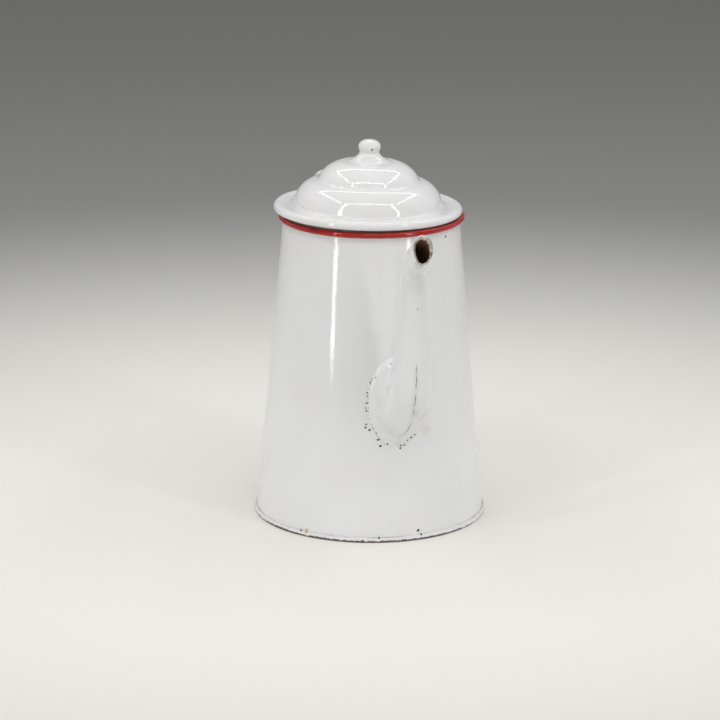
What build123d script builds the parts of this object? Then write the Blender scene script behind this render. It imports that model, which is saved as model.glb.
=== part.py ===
from build123d import *
import os
from math import atan, cos, degrees, hypot, pi, radians, sin, tan

# Tall enamelled sheet-steel coffee pot with a swan-neck spout and a hinged, stepped lid.
# Millimetres, +Z up. The origin is the middle of the foot ring on the resting plane.
# The spout points along -Y, the handle and the hinge are on +Y, the hinge pin lies along X.

# Pot body: a straight cone of sheet, rolled over a wire at the rim
base_radius = 73.4  # outside of the wall, carried down to the resting plane
rim_radius = 56.1  # outside of the wall at the height of the rim wire
rim_height = 193.6  # middle of the rim wire
wall_sheet = 1.2  # steel with its enamel on both faces
rim_wire_radius = 0.85
bead_sheet = 0.9  # wall sheet, thinned where it is rolled round the wire
bead_flare = 0.6  # how far the mouth spreads just below the bead
bead_flare_height = 2.4
bead_slit = 0.3  # gap between the end of the roll and the wall
fit_gap = 0.05  # what is closed, riveted or pinned together stays this far apart

# Base: a raised panel, folded round the lower end of the wall
base_sheet = 1.0
base_recess = 2.8  # panel above the resting plane
seam_height = 3.4

# Spout: two pressed halves that meet on the plane X = 0
spout_sheet = 1.1
foot_height = 90.5  # middle of the spout's foot on the wall
foot_half_width = 14.6
foot_half_height = 24.6
foot_run = 6.4  # from the wall to where the elbow starts
elbow_radius = 25.5
elbow_taper = 1.7  # how early the foot's height is lost in the elbow, 1 is evenly
riser_half_width_low = 12.5
riser_half_depth_low = 10.6
riser_half_width_top = 7.3
riser_half_depth_top = 9.6
riser_taper = 1.25  # how early the riser's width is lost, 1 is evenly
bend_below_rim = 9.5  # corner of the upper bend, under the rim wire
bend_radius = 14.0
tip_angle = 32.2  # degrees above level
tip_reach = 25.0  # from the riser's middle out to the upright mouth
mouth_half_width = 6.0
mouth_half_depth = 7.4
spout_sections = 24
flange_sheet = 0.8
flange_fillet = 2.0
flange_width = 3.9  # sideways beyond the foot
flange_drop = 2.2  # the flange's middle below the foot's
flange_height_margin = 4.4

# Strainer: holes punched in the wall behind the spout
strainer_hole_radius = 2.0
strainer_pitch = 7.0
strainer_margin = 3.0  # solid wall left inside the spout's foot

# Handle: sheet rolled to a flattened tube, its seam open towards the pot
handle_half_width = 10.0
handle_half_thickness = 3.8
handle_sheet = 1.1
handle_slit = 6.0
handle_root_drop = 13.2  # root on the wall below the rim wire
handle_rise_reach = 15.9  # bend above the root, out from the wall
handle_rise_height = 2.2  # that bend above the rim wire
handle_rise_radius = 24.0
handle_crown_reach = 62.7  # outer corner of the grip, out from the wall at the rim
handle_crown_height = 8.6  # that corner above the rim wire
handle_crown_radius = 16.0
handle_grip_reach = 56.0
handle_grip_height = 106.0
handle_grip_radius = 60.0
handle_end_height = 67.0
foot_sheet = 1.2
foot_tab_length = 26.0
foot_tab_width = 18.0
foot_tab_corner = 8.5
foot_tab_end = 9.0  # from the outer rivet to the end of the tab
handle_rivet_radius = 1.6
handle_rivet_head = 3.0
handle_rivet_pitch = 10.0
rivet_head_height = 1.4

# Hinge
bracket_sheet = 1.2
bracket_jog_height = 4.0  # where it leaves the wall, below the bottom of the bead
bracket_bead_gap = 0.4
ear_gap = 22.0
ear_radius = 3.6
pin_radius = 1.5
pin_standoff = 5.3  # pin's axis beyond the bead
pin_rise = 5.1  # pin's axis above the bead
pin_head_radius = 2.5
pin_head_height = 1.0
pin_clearance = 0.05
leaf_sheet = 1.2
leaf_end_gap = 2.4  # from the leaf's front edge to the dome
leaf_corner = 5.0
lid_rivet_radius = 0.9
lid_rivet_head = 1.7
lid_rivet_pitch = 9.6
lid_rivet_inset = 4.3  # behind the curl's middle
lid_rivet_height = 1.0

# Lid: pressed sheet with a rolled brim and a two-step dome
lid_sheet = 1.1
lid_rest_gap = 0.3  # between the brim and the bead
lid_overhang = 0.9
lid_lean = 1.1  # degrees, down on the +X side, as the lid sits in its hinge
brim_curl_radius = 2.8
brim_curl_slit = 0.5
brim_dish = 0.6  # how far the brim sinks between curl and dome
brim_dish_reach = 3.1  # from the foot of the dome out to the lowest place
brim_width = 13.0  # from the outer edge to the foot of the dome
lower_dome_height = 15.2
step_radius = 32.3
lower_dome_bulge = 4.0  # how far the arc stands out from its chord
upper_dome_height = 11.4
crown_radius = 12.5
upper_dome_bulge = 3.9
crown_height = 0.2
dome_foot_fillet = 2.2
step_fillet = 1.5  # between the two steps of the dome
lid_shift_side = 2.3  # the lid rests at one end of its side play
lid_shift_back = 0.1
collar_sheet = 1.0
collar_clearance = 0.8
collar_depth = 12.0
collar_flange = 4.2

# Knob: a hollow drawn knob on a flared foot
knob_foot_radius = 11.8
knob_neck_radius = 6.1
knob_head_radius = 7.2
knob_neck_height = 6.4
knob_head_height = 9.8  # middle of the head above the dome
knob_head_half_height = 4.4
knob_cap_radius = 4.9
knob_cap_height = 1.1
knob_flare = 1.8  # how far the foot has spread at the flare's middle
knob_flare_height = 3.8  # that middle above the dome
knob_foot_edge = 0.7  # thickness of the foot's edge on the dome
knob_sheet = 1.0
knob_vent_radius = 0.6
knob_vent_height = 8.4  # above the dome

# Derived sizes
wall_slope = (base_radius - rim_radius) / rim_height
wall_tilt = degrees(atan(wall_slope))
bead_hole = rim_wire_radius + fit_gap
bead_radius = bead_hole + bead_sheet
mouth_radius = rim_radius - wall_sheet
bead_centre = mouth_radius + bead_flare + bead_radius
bead_outside = bead_centre + bead_radius
bead_top = rim_height + bead_radius
pin_y = bead_outside + pin_standoff
pin_z = bead_top + pin_rise
brim_radius = bead_outside + lid_overhang
curl_centre = brim_radius - brim_curl_radius
lean_lift = curl_centre * tan(radians(lid_lean)) / 2
curl_height = bead_top + lid_rest_gap + lean_lift + brim_curl_radius
brim_top = curl_height + brim_curl_radius
dome_foot = brim_radius - brim_width
step_height = brim_top + lower_dome_height
crown_edge_height = step_height + upper_dome_height
dome_top = crown_edge_height + crown_height
collar_radius = mouth_radius - hypot(lid_shift_side, lid_shift_back) - collar_clearance
knuckle_bore = pin_radius + pin_clearance
knuckle_radius = knuckle_bore + leaf_sheet
leaf_width = ear_gap - 2 * (lid_shift_side + lid_rest_gap)
bracket_width = ear_gap + 2 * bracket_sheet
riser_reach = (base_radius - wall_slope * foot_height) + foot_run + elbow_radius
far = 3 * base_radius  # longer than anything it cuts
standing = (Align.CENTER, Align.CENTER, Align.MIN)


def wall_radius(height):
    """Outside of the wall at a height."""
    return base_radius - wall_slope * height


def off_wall(point):
    """How far a point lies outside the wall."""
    return hypot(point.X, point.Y) - wall_radius(point.Z)


def cone(offset):
    """The whole cone inside the wall's outer face, grown by an offset."""
    low, high = -rim_height / 4, rim_height * 1.5
    bottom, top = wall_radius(low) + offset, wall_radius(high) + offset
    return Pos(0, 0, low) * Cone(bottom, top, high - low, align=standing)


def turned(sketch):
    """A solid of revolution from a sketch whose x is the radius and y the height."""
    return revolve(Plane.XZ * sketch, Axis.Z)


def area(*points):
    """A filled outline from its corners."""
    return make_face(Polyline(*points, close=True))


def cap(radius, height, top):
    """Half the outline of a round cap, from its top on the axis out to its edge."""
    ball = (radius * radius + height * height) / (2 * height)
    half = radius / 2
    half_height = top - ball + (ball * ball - half * half) ** 0.5
    return ThreePointArc((0, top), (half, half_height), (radius, top - height))


def beyond_wall(half_width, half_height, middle, side):
    """An upright prism that reaches out from the axis on one side: oval across, centred at a height."""
    oval = Ellipse(half_width, half_height)
    place = Plane(origin=(0, 0, middle), x_dir=(1, 0, 0), z_dir=(0, side, 0))
    return extrude(place * oval, far)


# Pot body


def strainer_places():
    """Centres (x, height) of the punched holes: a staggered pattern inside the spout's foot."""
    reach_x = foot_half_width - spout_sheet - strainer_margin - strainer_hole_radius / 2
    reach_z = foot_half_height - spout_sheet - strainer_margin - strainer_hole_radius / 2
    row_step = strainer_pitch * sin(radians(60))
    places = []
    for row in range(-int(reach_z / row_step), int(reach_z / row_step) + 1):
        offset = strainer_pitch / 2 if row % 2 else 0
        for column in range(-3, 4):
            x = column * strainer_pitch + offset
            z = row * row_step
            if hypot(x / reach_x, z / reach_z) <= 1:
                places.append((x, foot_height + z))
    return places


def make_body_shell():
    floor = base_sheet
    flare_start = rim_height - bead_flare_height
    wall = area(
        (wall_radius(floor) - wall_sheet, floor),
        (wall_radius(floor), floor),
        (wall_radius(flare_start), flare_start),
        (rim_radius + bead_flare, rim_height),
        (mouth_radius + bead_flare, rim_height),
        (wall_radius(flare_start) - wall_sheet, flare_start),
    )
    bead = Pos(bead_centre, rim_height) * Circle(bead_radius)
    hole = Pos(bead_centre, rim_height) * Circle(bead_hole)
    slit_place = Pos(bead_centre - bead_hole + bead_slit, rim_height - bead_radius / 2)
    slit = slit_place * Rectangle(bead_slit, bead_radius)
    shell = turned(wall + bead - hole - slit)
    for x, z in strainer_places():
        punch = Cylinder(strainer_hole_radius, far, align=standing)
        shell -= Plane(origin=(x, 0, z), z_dir=(0, -1, 0)) * punch
    return shell - handle_rivet_holes(handle_rivet_places())


def make_rim_wire():
    return turned(Pos(bead_centre, rim_height) * Circle(rim_wire_radius))


def make_base_plate():
    outside = wall_radius(0) + fit_gap + base_sheet
    inside = wall_sheet + fit_gap
    leg_top = base_recess + base_sheet
    ring = area(
        (wall_radius(0) - inside - base_sheet, 0),
        (outside, 0),
        (outside - wall_slope * seam_height, seam_height),
        (wall_radius(seam_height) + fit_gap, seam_height),
        (wall_radius(base_sheet) + fit_gap, base_sheet),
        (wall_radius(base_sheet) - inside, base_sheet),
        (wall_radius(leg_top) - inside, leg_top),
        (0, leg_top),
        (0, base_recess),
        (wall_radius(base_recess) - inside - base_sheet, base_recess),
    )
    return turned(ring)


# Spout


def spout_path():
    """Middle line of the spout: out of the wall, up the riser and out to the mouth."""
    corner_z = rim_height - bend_below_rim
    out = tip_reach + 2 * mouth_half_depth
    start = wall_radius(foot_height) - foot_run
    return FilletPolyline(
        (0, -start, foot_height),
        (0, -riser_reach, foot_height),
        (0, -riser_reach, corner_z),
        (0, -riser_reach - out, corner_z + out * tan(radians(tip_angle))),
        radius=[elbow_radius, bend_radius],
    )


def spout_stations(path):
    """Place along the middle line, half width and half depth of each oval section, evenly spaced."""
    bend_turn = radians(90 - tip_angle)
    trim = bend_radius * tan(bend_turn / 2)
    elbow_end = 2 * foot_run + elbow_radius * pi / 2
    riser_end = elbow_end + rim_height - bend_below_rim - trim - foot_height - elbow_radius
    mouth = riser_end + bend_radius * bend_turn + tip_reach
    stations = []
    for step in range(spout_sections + 1):
        place = path.length * step / spout_sections
        if place < elbow_end:
            t = max(0, (place - foot_run) / (elbow_end - foot_run))
            width = foot_half_width + (riser_half_width_low - foot_half_width) * t * t
            depth = riser_half_depth_low + (foot_half_height - riser_half_depth_low) * (1 - t) ** elbow_taper
        elif place < riser_end:
            t = (place - elbow_end) / (riser_end - elbow_end)
            narrowed = (riser_half_width_low - riser_half_width_top) * (1 - t) ** riser_taper
            width = riser_half_width_top + narrowed
            depth = riser_half_depth_low + (riser_half_depth_top - riser_half_depth_low) * t
        else:
            t = min(1, (place - riser_end) / (mouth - riser_end))
            width = riser_half_width_top + (mouth_half_width - riser_half_width_top) * t
            depth = riser_half_depth_top + (mouth_half_depth - riser_half_depth_top) * t
        stations.append((place, width, depth))
    return stations


def spout_loft(inset):
    """The spout's outer form, or its bore when inset by the sheet."""
    path = spout_path()
    sections = []
    for place, width, depth in spout_stations(path):
        origin = path.position_at(place, position_mode=PositionMode.LENGTH)
        along = path.tangent_at(place, position_mode=PositionMode.LENGTH)
        frame = Plane(origin=origin, x_dir=(1, 0, 0), z_dir=along)
        sections.append(frame * scale(Circle(1), by=(width - inset, depth - inset, 1)))
    return loft(sections)


def make_spout():
    """Both halves together: tube and flange, open at the wall and at the mouth."""
    oval = beyond_wall(
        foot_half_width + flange_width,
        foot_half_height + flange_height_margin,
        foot_height - flange_drop,
        -1,
    )
    flange = (cone(flange_sheet) & oval) - cone(0)
    tube = spout_loft(0) - cone(0)
    body = flange + tube
    meeting = new_edges(flange, tube, combined=body)
    body = fillet([edge for edge in meeting if off_wall(edge @ 0.5) > flange_sheet / 2], flange_fillet)
    block = Box(far, far, 3 * far, align=(Align.CENTER, Align.MAX, Align.CENTER))
    beyond_mouth = Pos(0, -riser_reach - tip_reach, 0) * block
    return body - spout_loft(spout_sheet) - beyond_mouth


def make_spout_half(spout, side):
    half_space = Box(far, 2 * far, 3 * far, align=(Align.MIN, Align.CENTER, Align.CENTER))
    return spout & (Rot(0, 0, 90 - 90 * side) * half_space)


# Handle


def wall_place(height, offset=0.0):
    """A frame on the wall's outer face on the handle's side, its z axis square to the wall."""
    normal = (0, cos(radians(wall_tilt)), sin(radians(wall_tilt)))
    frame = Plane(origin=(0, wall_radius(height), height), x_dir=(1, 0, 0), z_dir=normal)
    return frame * Pos(0, 0, offset)


def upper_rivet_heights():
    root = rim_height - handle_root_drop
    return [root - handle_rivet_pitch, root - 2 * handle_rivet_pitch]


def lower_rivet_heights():
    return [handle_end_height - handle_rivet_pitch, handle_end_height - 2 * handle_rivet_pitch]


def handle_rivet_places():
    return [wall_place(height) for height in upper_rivet_heights() + lower_rivet_heights()]


def handle_rivet_holes(places):
    """Holes square to the wall, through all that a handle rivet holds."""
    grip = wall_sheet + bracket_sheet + foot_sheet
    hole = Cylinder(handle_rivet_radius + fit_gap, 2 * grip)
    return [place * hole for place in places]


def handle_path():
    root = rim_height - handle_root_drop
    inner = wall_radius(root) - 2 * handle_half_thickness
    rise = (rim_radius + handle_rise_reach, rim_height + handle_rise_height)
    slope = (rise[1] - root) / (rise[0] - wall_radius(root))
    crown = (rim_radius + handle_crown_reach, rim_height + handle_crown_height)
    grip = (rim_radius + handle_grip_reach, handle_grip_height)
    end = wall_radius(handle_end_height)
    drop = (grip[1] - handle_end_height) / (grip[0] - end)
    end_inner = end - 3 * handle_half_thickness
    return FilletPolyline(
        (0, inner, root - slope * (wall_radius(root) - inner)),
        (0, *rise),
        (0, *crown),
        (0, *grip),
        (0, end_inner, handle_end_height - drop * (end - end_inner)),
        radius=[handle_rise_radius, handle_crown_radius, handle_grip_radius],
    )


def foot_tab(rivets, seat):
    """A round-ended tab of sheet lying on the wall, or on what is already on the wall."""
    low = min(rivets) - foot_tab_end
    length = foot_tab_length
    outline = Pos(0, low + length / 2) * RectangleRounded(foot_tab_width, length, foot_tab_corner)
    prism = extrude(Plane(origin=(0, 0, 0), x_dir=(1, 0, 0), z_dir=(0, -1, 0)) * outline, -far)
    return (cone(seat + foot_sheet) - cone(seat)) & prism


def make_handle():
    path = handle_path()
    frame = Plane(origin=path @ 0, x_dir=(1, 0, 0), z_dir=path % 0)
    section = Ellipse(handle_half_width, handle_half_thickness)
    section -= Ellipse(handle_half_width - handle_sheet, handle_half_thickness - handle_sheet)
    section -= Pos(0, handle_half_thickness) * Rectangle(handle_slit, 2 * handle_half_thickness)
    strap = sweep(frame * section, path=path)
    upper = Pos(0, 0, rim_height / 2) * Box(far, far, far, align=(Align.CENTER, Align.CENTER, Align.MIN))
    strap = strap - cone(0) - (cone(bracket_sheet) & upper)
    handle = strap + foot_tab(upper_rivet_heights(), bracket_sheet) + foot_tab(lower_rivet_heights(), 0)
    return handle - handle_rivet_holes(handle_rivet_places())


def rivet(shank, head, height, grip):
    """A round-headed rivet that stands on its seat: the head above, the clenched tail below the grip."""
    tail = (2 * shank + head) / 3
    end = -grip - height / 2
    outline = [
        cap(head, height, height),
        Polyline((head, 0), (shank, 0), (shank, -grip), (tail, -grip), (shank, end), (0, end), (0, height)),
    ]
    return turned(make_face(outline))


def make_handle_rivets():
    stacks = [(height, bracket_sheet + foot_sheet) for height in upper_rivet_heights()]
    stacks += [(height, foot_sheet) for height in lower_rivet_heights()]
    rivets = []
    for height, stack in stacks:
        grip = stack + wall_sheet + 4 * fit_gap
        form = rivet(handle_rivet_radius, handle_rivet_head, rivet_head_height, grip)
        rivets.append(wall_place(height, stack + fit_gap) * form)
    return Compound(children=rivets)


# Hinge


def make_hinge_bracket():
    """A plate on the wall that steps out round the bead and carries two ears for the pin."""
    low = min(upper_rivet_heights()) - foot_tab_end
    leave = rim_height - bead_radius - bracket_jog_height
    web = bead_outside + bracket_bead_gap
    web_low = leave + (web - wall_radius(leave))
    web_top = bead_top - lid_rest_gap
    sheet = area(
        (wall_radius(low), low),
        (wall_radius(low) + bracket_sheet, low),
        (wall_radius(leave - bracket_sheet / 2) + bracket_sheet, leave - bracket_sheet / 2),
        (web + bracket_sheet, web_low - bracket_sheet / 2),
        (web + bracket_sheet, web_top),
        (web, web_top),
        (web, web_low),
        (wall_radius(leave), leave),
    )
    height = web_top - low
    outline = Pos(0, low + height / 2) * Rectangle(bracket_width, height)
    outline = fillet(outline.vertices().sort_by(Axis.Y)[:2], leaf_corner)
    prism = extrude(Plane(origin=(0, 0, 0), x_dir=(1, 0, 0), z_dir=(0, -1, 0)) * outline, -far)
    bracket = turned(sheet) & prism
    web_edge = (web * web - bracket_width * bracket_width / 4) ** 0.5 + bracket_sheet / 2
    root = Polyline(
        (web_edge, web_low),
        (web_edge, web_top),
        (web_edge + bracket_sheet, web_low - bracket_sheet),
        close=True,
    )
    end = Pos(pin_y, pin_z) * Circle(ear_radius)
    ear = make_hull(root.edges() + end.edges()) - Pos(pin_y, pin_z) * Circle(pin_radius + fit_gap)
    for side in (-1, 1):
        inner = side * ear_gap / 2
        face = Plane(origin=(inner, 0, 0), x_dir=(0, 1, 0), z_dir=(1, 0, 0)) * ear
        bracket += extrude(face, side * bracket_sheet)
    return bracket - handle_rivet_holes(handle_rivet_places()[:2])


def make_hinge_pin():
    half = bracket_width / 2 + fit_gap
    across = Plane(origin=(0, pin_y, pin_z), x_dir=(0, 1, 0), z_dir=(1, 0, 0))
    pin = across * Cylinder(pin_radius, 2 * half)
    head = Cylinder(pin_head_radius, pin_head_height)
    for side in (-1, 1):
        pin += across * Pos(0, 0, side * (half + pin_head_height / 2)) * head
    return pin


# Lid, modelled round its own middle and then moved to where it rests


def bulged(outer, inner, bulge):
    """An arc between two points of the lid's outline that stands out from its chord."""
    chord = Vector(*outer) - Vector(*inner)
    middle = (Vector(*outer) + Vector(*inner)) / 2
    return ThreePointArc(outer, middle + Vector(-chord.Y, chord.X).normalized() * bulge, inner)


def lid_outline():
    """The lid's outer face from the curl in to the crown, as a line of radius and height."""
    foot = (dome_foot, brim_top)
    dish = (dome_foot + brim_dish_reach, brim_top - brim_dish)
    step = (step_radius, step_height)
    crown = (crown_radius, crown_edge_height)
    return [
        Line((curl_centre, brim_top), dish),
        Line(dish, foot),
        bulged(foot, step, lower_dome_bulge),
        bulged(step, crown, upper_dome_bulge),
        Line(crown, (0, dome_top)),
    ]


def lid_solid():
    """Everything under the lid's outer face down to the middle of the curl, for cutting what lies on it."""
    under = Polyline((0, dome_top), (0, curl_height), (curl_centre, curl_height), (curl_centre, brim_top))
    return turned(make_face([*lid_outline(), under]))


def at_rest(lid_piece):
    seat = Pos(-lid_shift_side, lid_shift_back, curl_height) * Rot(0, lid_lean, 0)
    return seat * Pos(0, 0, -curl_height) * lid_piece


def lid_sheet_section():
    """The pressed sheet of the lid without its curl, from the axis out."""
    wire = Wire([line.edge() for line in lid_outline()])
    sheet = make_face(offset(wire, amount=lid_sheet, side=Side.LEFT))
    corners = [(dome_foot, brim_top, dome_foot_fillet), (step_radius, step_height, step_fillet)]
    for x, y, radius in corners:
        sheet = fillet(sheet.vertices().sort_by_distance((x, y, 0))[:1], radius)
    return sheet & Pos(0, curl_height) * Rectangle(far, far, align=(Align.MIN, Align.CENTER))


def make_lid_shell():
    sheet = lid_sheet_section()
    curl = Pos(curl_centre, curl_height) * Circle(brim_curl_radius)
    hollow = Pos(curl_centre, curl_height) * Circle(brim_curl_radius - lid_sheet)
    slit_place = Pos(curl_centre - brim_curl_radius / 2, curl_height - brim_curl_slit)
    slit = slit_place * Rectangle(brim_curl_radius, brim_curl_slit)
    return at_rest(turned(sheet + curl - hollow - slit)) - lid_rivet_holes()


def make_lid_collar():
    """The ring that drops into the mouth, turned in at the top to lie under the brim."""
    under = brim_top - lid_sheet
    bottom = under - collar_depth
    inner = collar_radius - collar_sheet
    ring = area(
        (inner, bottom),
        (collar_radius, bottom),
        (collar_radius, under),
        (collar_radius - collar_flange, under),
        (collar_radius - collar_flange, under - brim_dish - collar_sheet),
        (inner, under - brim_dish - collar_sheet),
    )
    return at_rest(turned(ring) - turned(lid_sheet_section()))


def knob_form(inset):
    """The knob filled in: flared foot, throat and flattened ball, or its hollow when inset by the sheet."""
    low = dome_top - 2 * crown_height - knob_sheet
    foot = knob_foot_radius - inset
    throat = knob_neck_radius - inset
    neck = dome_top + knob_neck_height
    flare_middle = dome_top + knob_flare_height
    foot_top = dome_top + knob_foot_edge - inset
    head = dome_top + knob_head_height
    top = head + knob_head_half_height - inset
    cap_radius = knob_cap_radius - inset / 2
    cap_edge = top - knob_cap_height
    outline = [
        cap(cap_radius, knob_cap_height, top),
        ThreePointArc((cap_radius, cap_edge), (knob_head_radius - inset, head), (throat, neck)),
        ThreePointArc((throat, neck), (throat + knob_flare, flare_middle), (foot, foot_top)),
        Polyline((foot, foot_top), (foot, low), (0, low), (0, top)),
    ]
    return turned(make_face(outline))


def make_lid_knob():
    """A hollow knob, open underneath, with the vent hole that let it be fired."""
    vent_place = Pos(0, 0, dome_top + knob_vent_height) * Rot(90, 0, 0)
    vent = vent_place * Cylinder(knob_vent_radius, far, align=standing)
    return at_rest(knob_form(0) - knob_form(knob_sheet) - lid_solid() - vent)


def lid_rivet_places():
    """Frames on the brim under the hinge leaf."""
    y = lid_shift_back + curl_centre - lid_rivet_inset
    return [Pos(-lid_shift_side + side * lid_rivet_pitch / 2, y, brim_top) for side in (-1, 1)]


def lid_rivet_holes():
    hole = Cylinder(lid_rivet_radius + fit_gap, 8 * lid_sheet)
    return [place * hole for place in lid_rivet_places()]


def make_hinge_leaf():
    """A knuckle round the pin and the strap that runs from it over the brim."""
    front = lid_shift_back + dome_foot + leaf_end_gap
    rise = knuckle_bore + leaf_sheet / 2
    over_curl = lid_shift_back + curl_centre
    strap = trace(
        FilletPolyline(
            (pin_y, pin_z + rise),
            (over_curl, pin_z + rise),
            (front, pin_z + rise - brim_dish),
            radius=leaf_corner,
        ),
        leaf_sheet,
    )
    side = strap + Pos(pin_y, pin_z) * Circle(knuckle_radius) - Pos(pin_y, pin_z) * Circle(knuckle_bore)
    frame = Plane(origin=(-lid_shift_side, 0, 0), x_dir=(0, 1, 0), z_dir=(1, 0, 0))
    leaf = extrude(frame * side, leaf_width / 2, both=True)
    return leaf - lid_rivet_holes() - at_rest(lid_solid())


def make_lid_rivets():
    leaf_slope = brim_dish / (curl_centre - dome_foot - leaf_end_gap)
    seat = pin_z + knuckle_bore + leaf_sheet - brim_top - leaf_slope * (lid_rivet_inset - lid_rivet_head)
    drop = (lid_rivet_pitch / 2 + lid_rivet_head) * tan(radians(lid_lean))
    grip = seat + lid_sheet + brim_dish + drop
    form = rivet(lid_rivet_radius, lid_rivet_head, lid_rivet_height, grip)
    return Compound(children=[place * Pos(0, 0, seat) * form for place in lid_rivet_places()])


spout = make_spout()
nodes = {
    "body_shell": make_body_shell(),
    "rim_wire": make_rim_wire(),
    "base_plate": make_base_plate(),
    "spout_left_half": make_spout_half(spout, 1),
    "spout_right_half": make_spout_half(spout, -1),
    "handle": make_handle(),
    "handle_rivets": make_handle_rivets(),
    "hinge_bracket": make_hinge_bracket(),
    "hinge_pin": make_hinge_pin(),
    "lid_shell": make_lid_shell(),
    "lid_collar": make_lid_collar(),
    "lid_knob": make_lid_knob(),
    "hinge_leaf": make_hinge_leaf(),
    "lid_rivets": make_lid_rivets(),
}

os.makedirs("parts", exist_ok=True)
for name, solid in nodes.items():
    export_step(solid, f"parts/{name}.step")
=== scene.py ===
"""Tall white enamelled coffee pot with a red rim, a swan-neck spout and a stepped, hinged lid."""

import math

import bmesh
import bpy
from mathutils import Matrix, Vector, noise


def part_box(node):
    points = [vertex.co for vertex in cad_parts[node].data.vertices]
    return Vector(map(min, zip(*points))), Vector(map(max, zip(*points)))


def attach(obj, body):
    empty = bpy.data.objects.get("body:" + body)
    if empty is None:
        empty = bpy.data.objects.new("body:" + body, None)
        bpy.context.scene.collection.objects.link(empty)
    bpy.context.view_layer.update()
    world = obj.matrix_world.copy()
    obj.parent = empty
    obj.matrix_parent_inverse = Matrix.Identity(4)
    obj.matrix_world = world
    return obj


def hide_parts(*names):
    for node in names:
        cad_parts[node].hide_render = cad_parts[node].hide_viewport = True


bl_info = {
    "name": "Enamelled coffee pot",
    "version": (1, 0, 0),
    "blender": (4, 5, 0),
    "location": "3D View > Sidebar > Coffee pot",
    "description": "Builds a hinged enamelled coffee pot round its CAD frame",
    "category": "Object",
}

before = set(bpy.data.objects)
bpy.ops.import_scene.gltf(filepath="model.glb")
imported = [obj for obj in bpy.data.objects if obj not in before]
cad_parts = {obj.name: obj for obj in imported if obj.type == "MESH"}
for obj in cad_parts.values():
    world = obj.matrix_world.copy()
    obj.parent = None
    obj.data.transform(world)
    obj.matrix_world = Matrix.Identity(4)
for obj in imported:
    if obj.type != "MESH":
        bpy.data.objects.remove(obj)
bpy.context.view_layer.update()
MM = 0.001
POT = "pot"
LID = "lid"


# Sizes and finishes that a user would change


def length(name, description, default_mm):
    """A property in metres whose default is written in millimetres."""
    return bpy.props.FloatProperty(
        name=name,
        description=description,
        default=default_mm * MM,
        subtype="DISTANCE",
        unit="LENGTH",
        precision=5,
    )


def slope(name, description, default_degrees):
    """A property in radians whose default is written in degrees."""
    return bpy.props.FloatProperty(
        name=name,
        description=description,
        default=math.radians(default_degrees),
        subtype="ANGLE",
        unit="ROTATION",
    )


def colour(name, description, default):
    """A colour property, linear values."""
    return bpy.props.FloatVectorProperty(
        name=name, description=description, default=default, subtype="COLOR", size=3, min=0.0, max=1.0
    )


class PotBodySizes(bpy.types.PropertyGroup):
    """Wall, rolled rim and foot seam."""

    foot_radius: length("Foot radius", "Outside of the wall, carried down to the table", 73.4)
    rim_radius: length("Rim radius", "Outside of the wall at the height of the rim wire", 56.1)
    rim_height: length("Rim height", "Middle of the rolled rim above the table", 193.6)
    sheet: length("Wall sheet", "Steel with its enamel on both faces", 1.2)
    bead_radius: length("Rolled rim", "Radius of the tube rolled at the rim", 1.8)
    bead_sheet: length("Rolled rim sheet", "Wall sheet where it is rolled round the wire", 0.9)
    wire_radius: length("Rim wire", "Radius of the wire inside the rolled rim", 0.85)
    flare: length("Mouth flare", "How far the wall spreads below the rolled rim", 0.6)
    flare_height: length("Flare height", "Height over which it spreads", 2.4)
    seam_height: length("Foot seam", "Height of the folded band round the foot", 3.4)
    seam_sheet: length("Foot seam sheet", "Thickness of the folded band", 1.0)
    base_recess: length("Base recess", "Height of the bottom panel above the table", 2.8)
    hole_radius: length("Strainer hole", "Radius of the holes behind the spout", 2.0)
    hole_pitch: length("Strainer pitch", "Distance from hole to hole", 7.0)
    hole_margin: length("Strainer margin", "From the spout's foot to the outermost holes' middles", 5.1)


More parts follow.
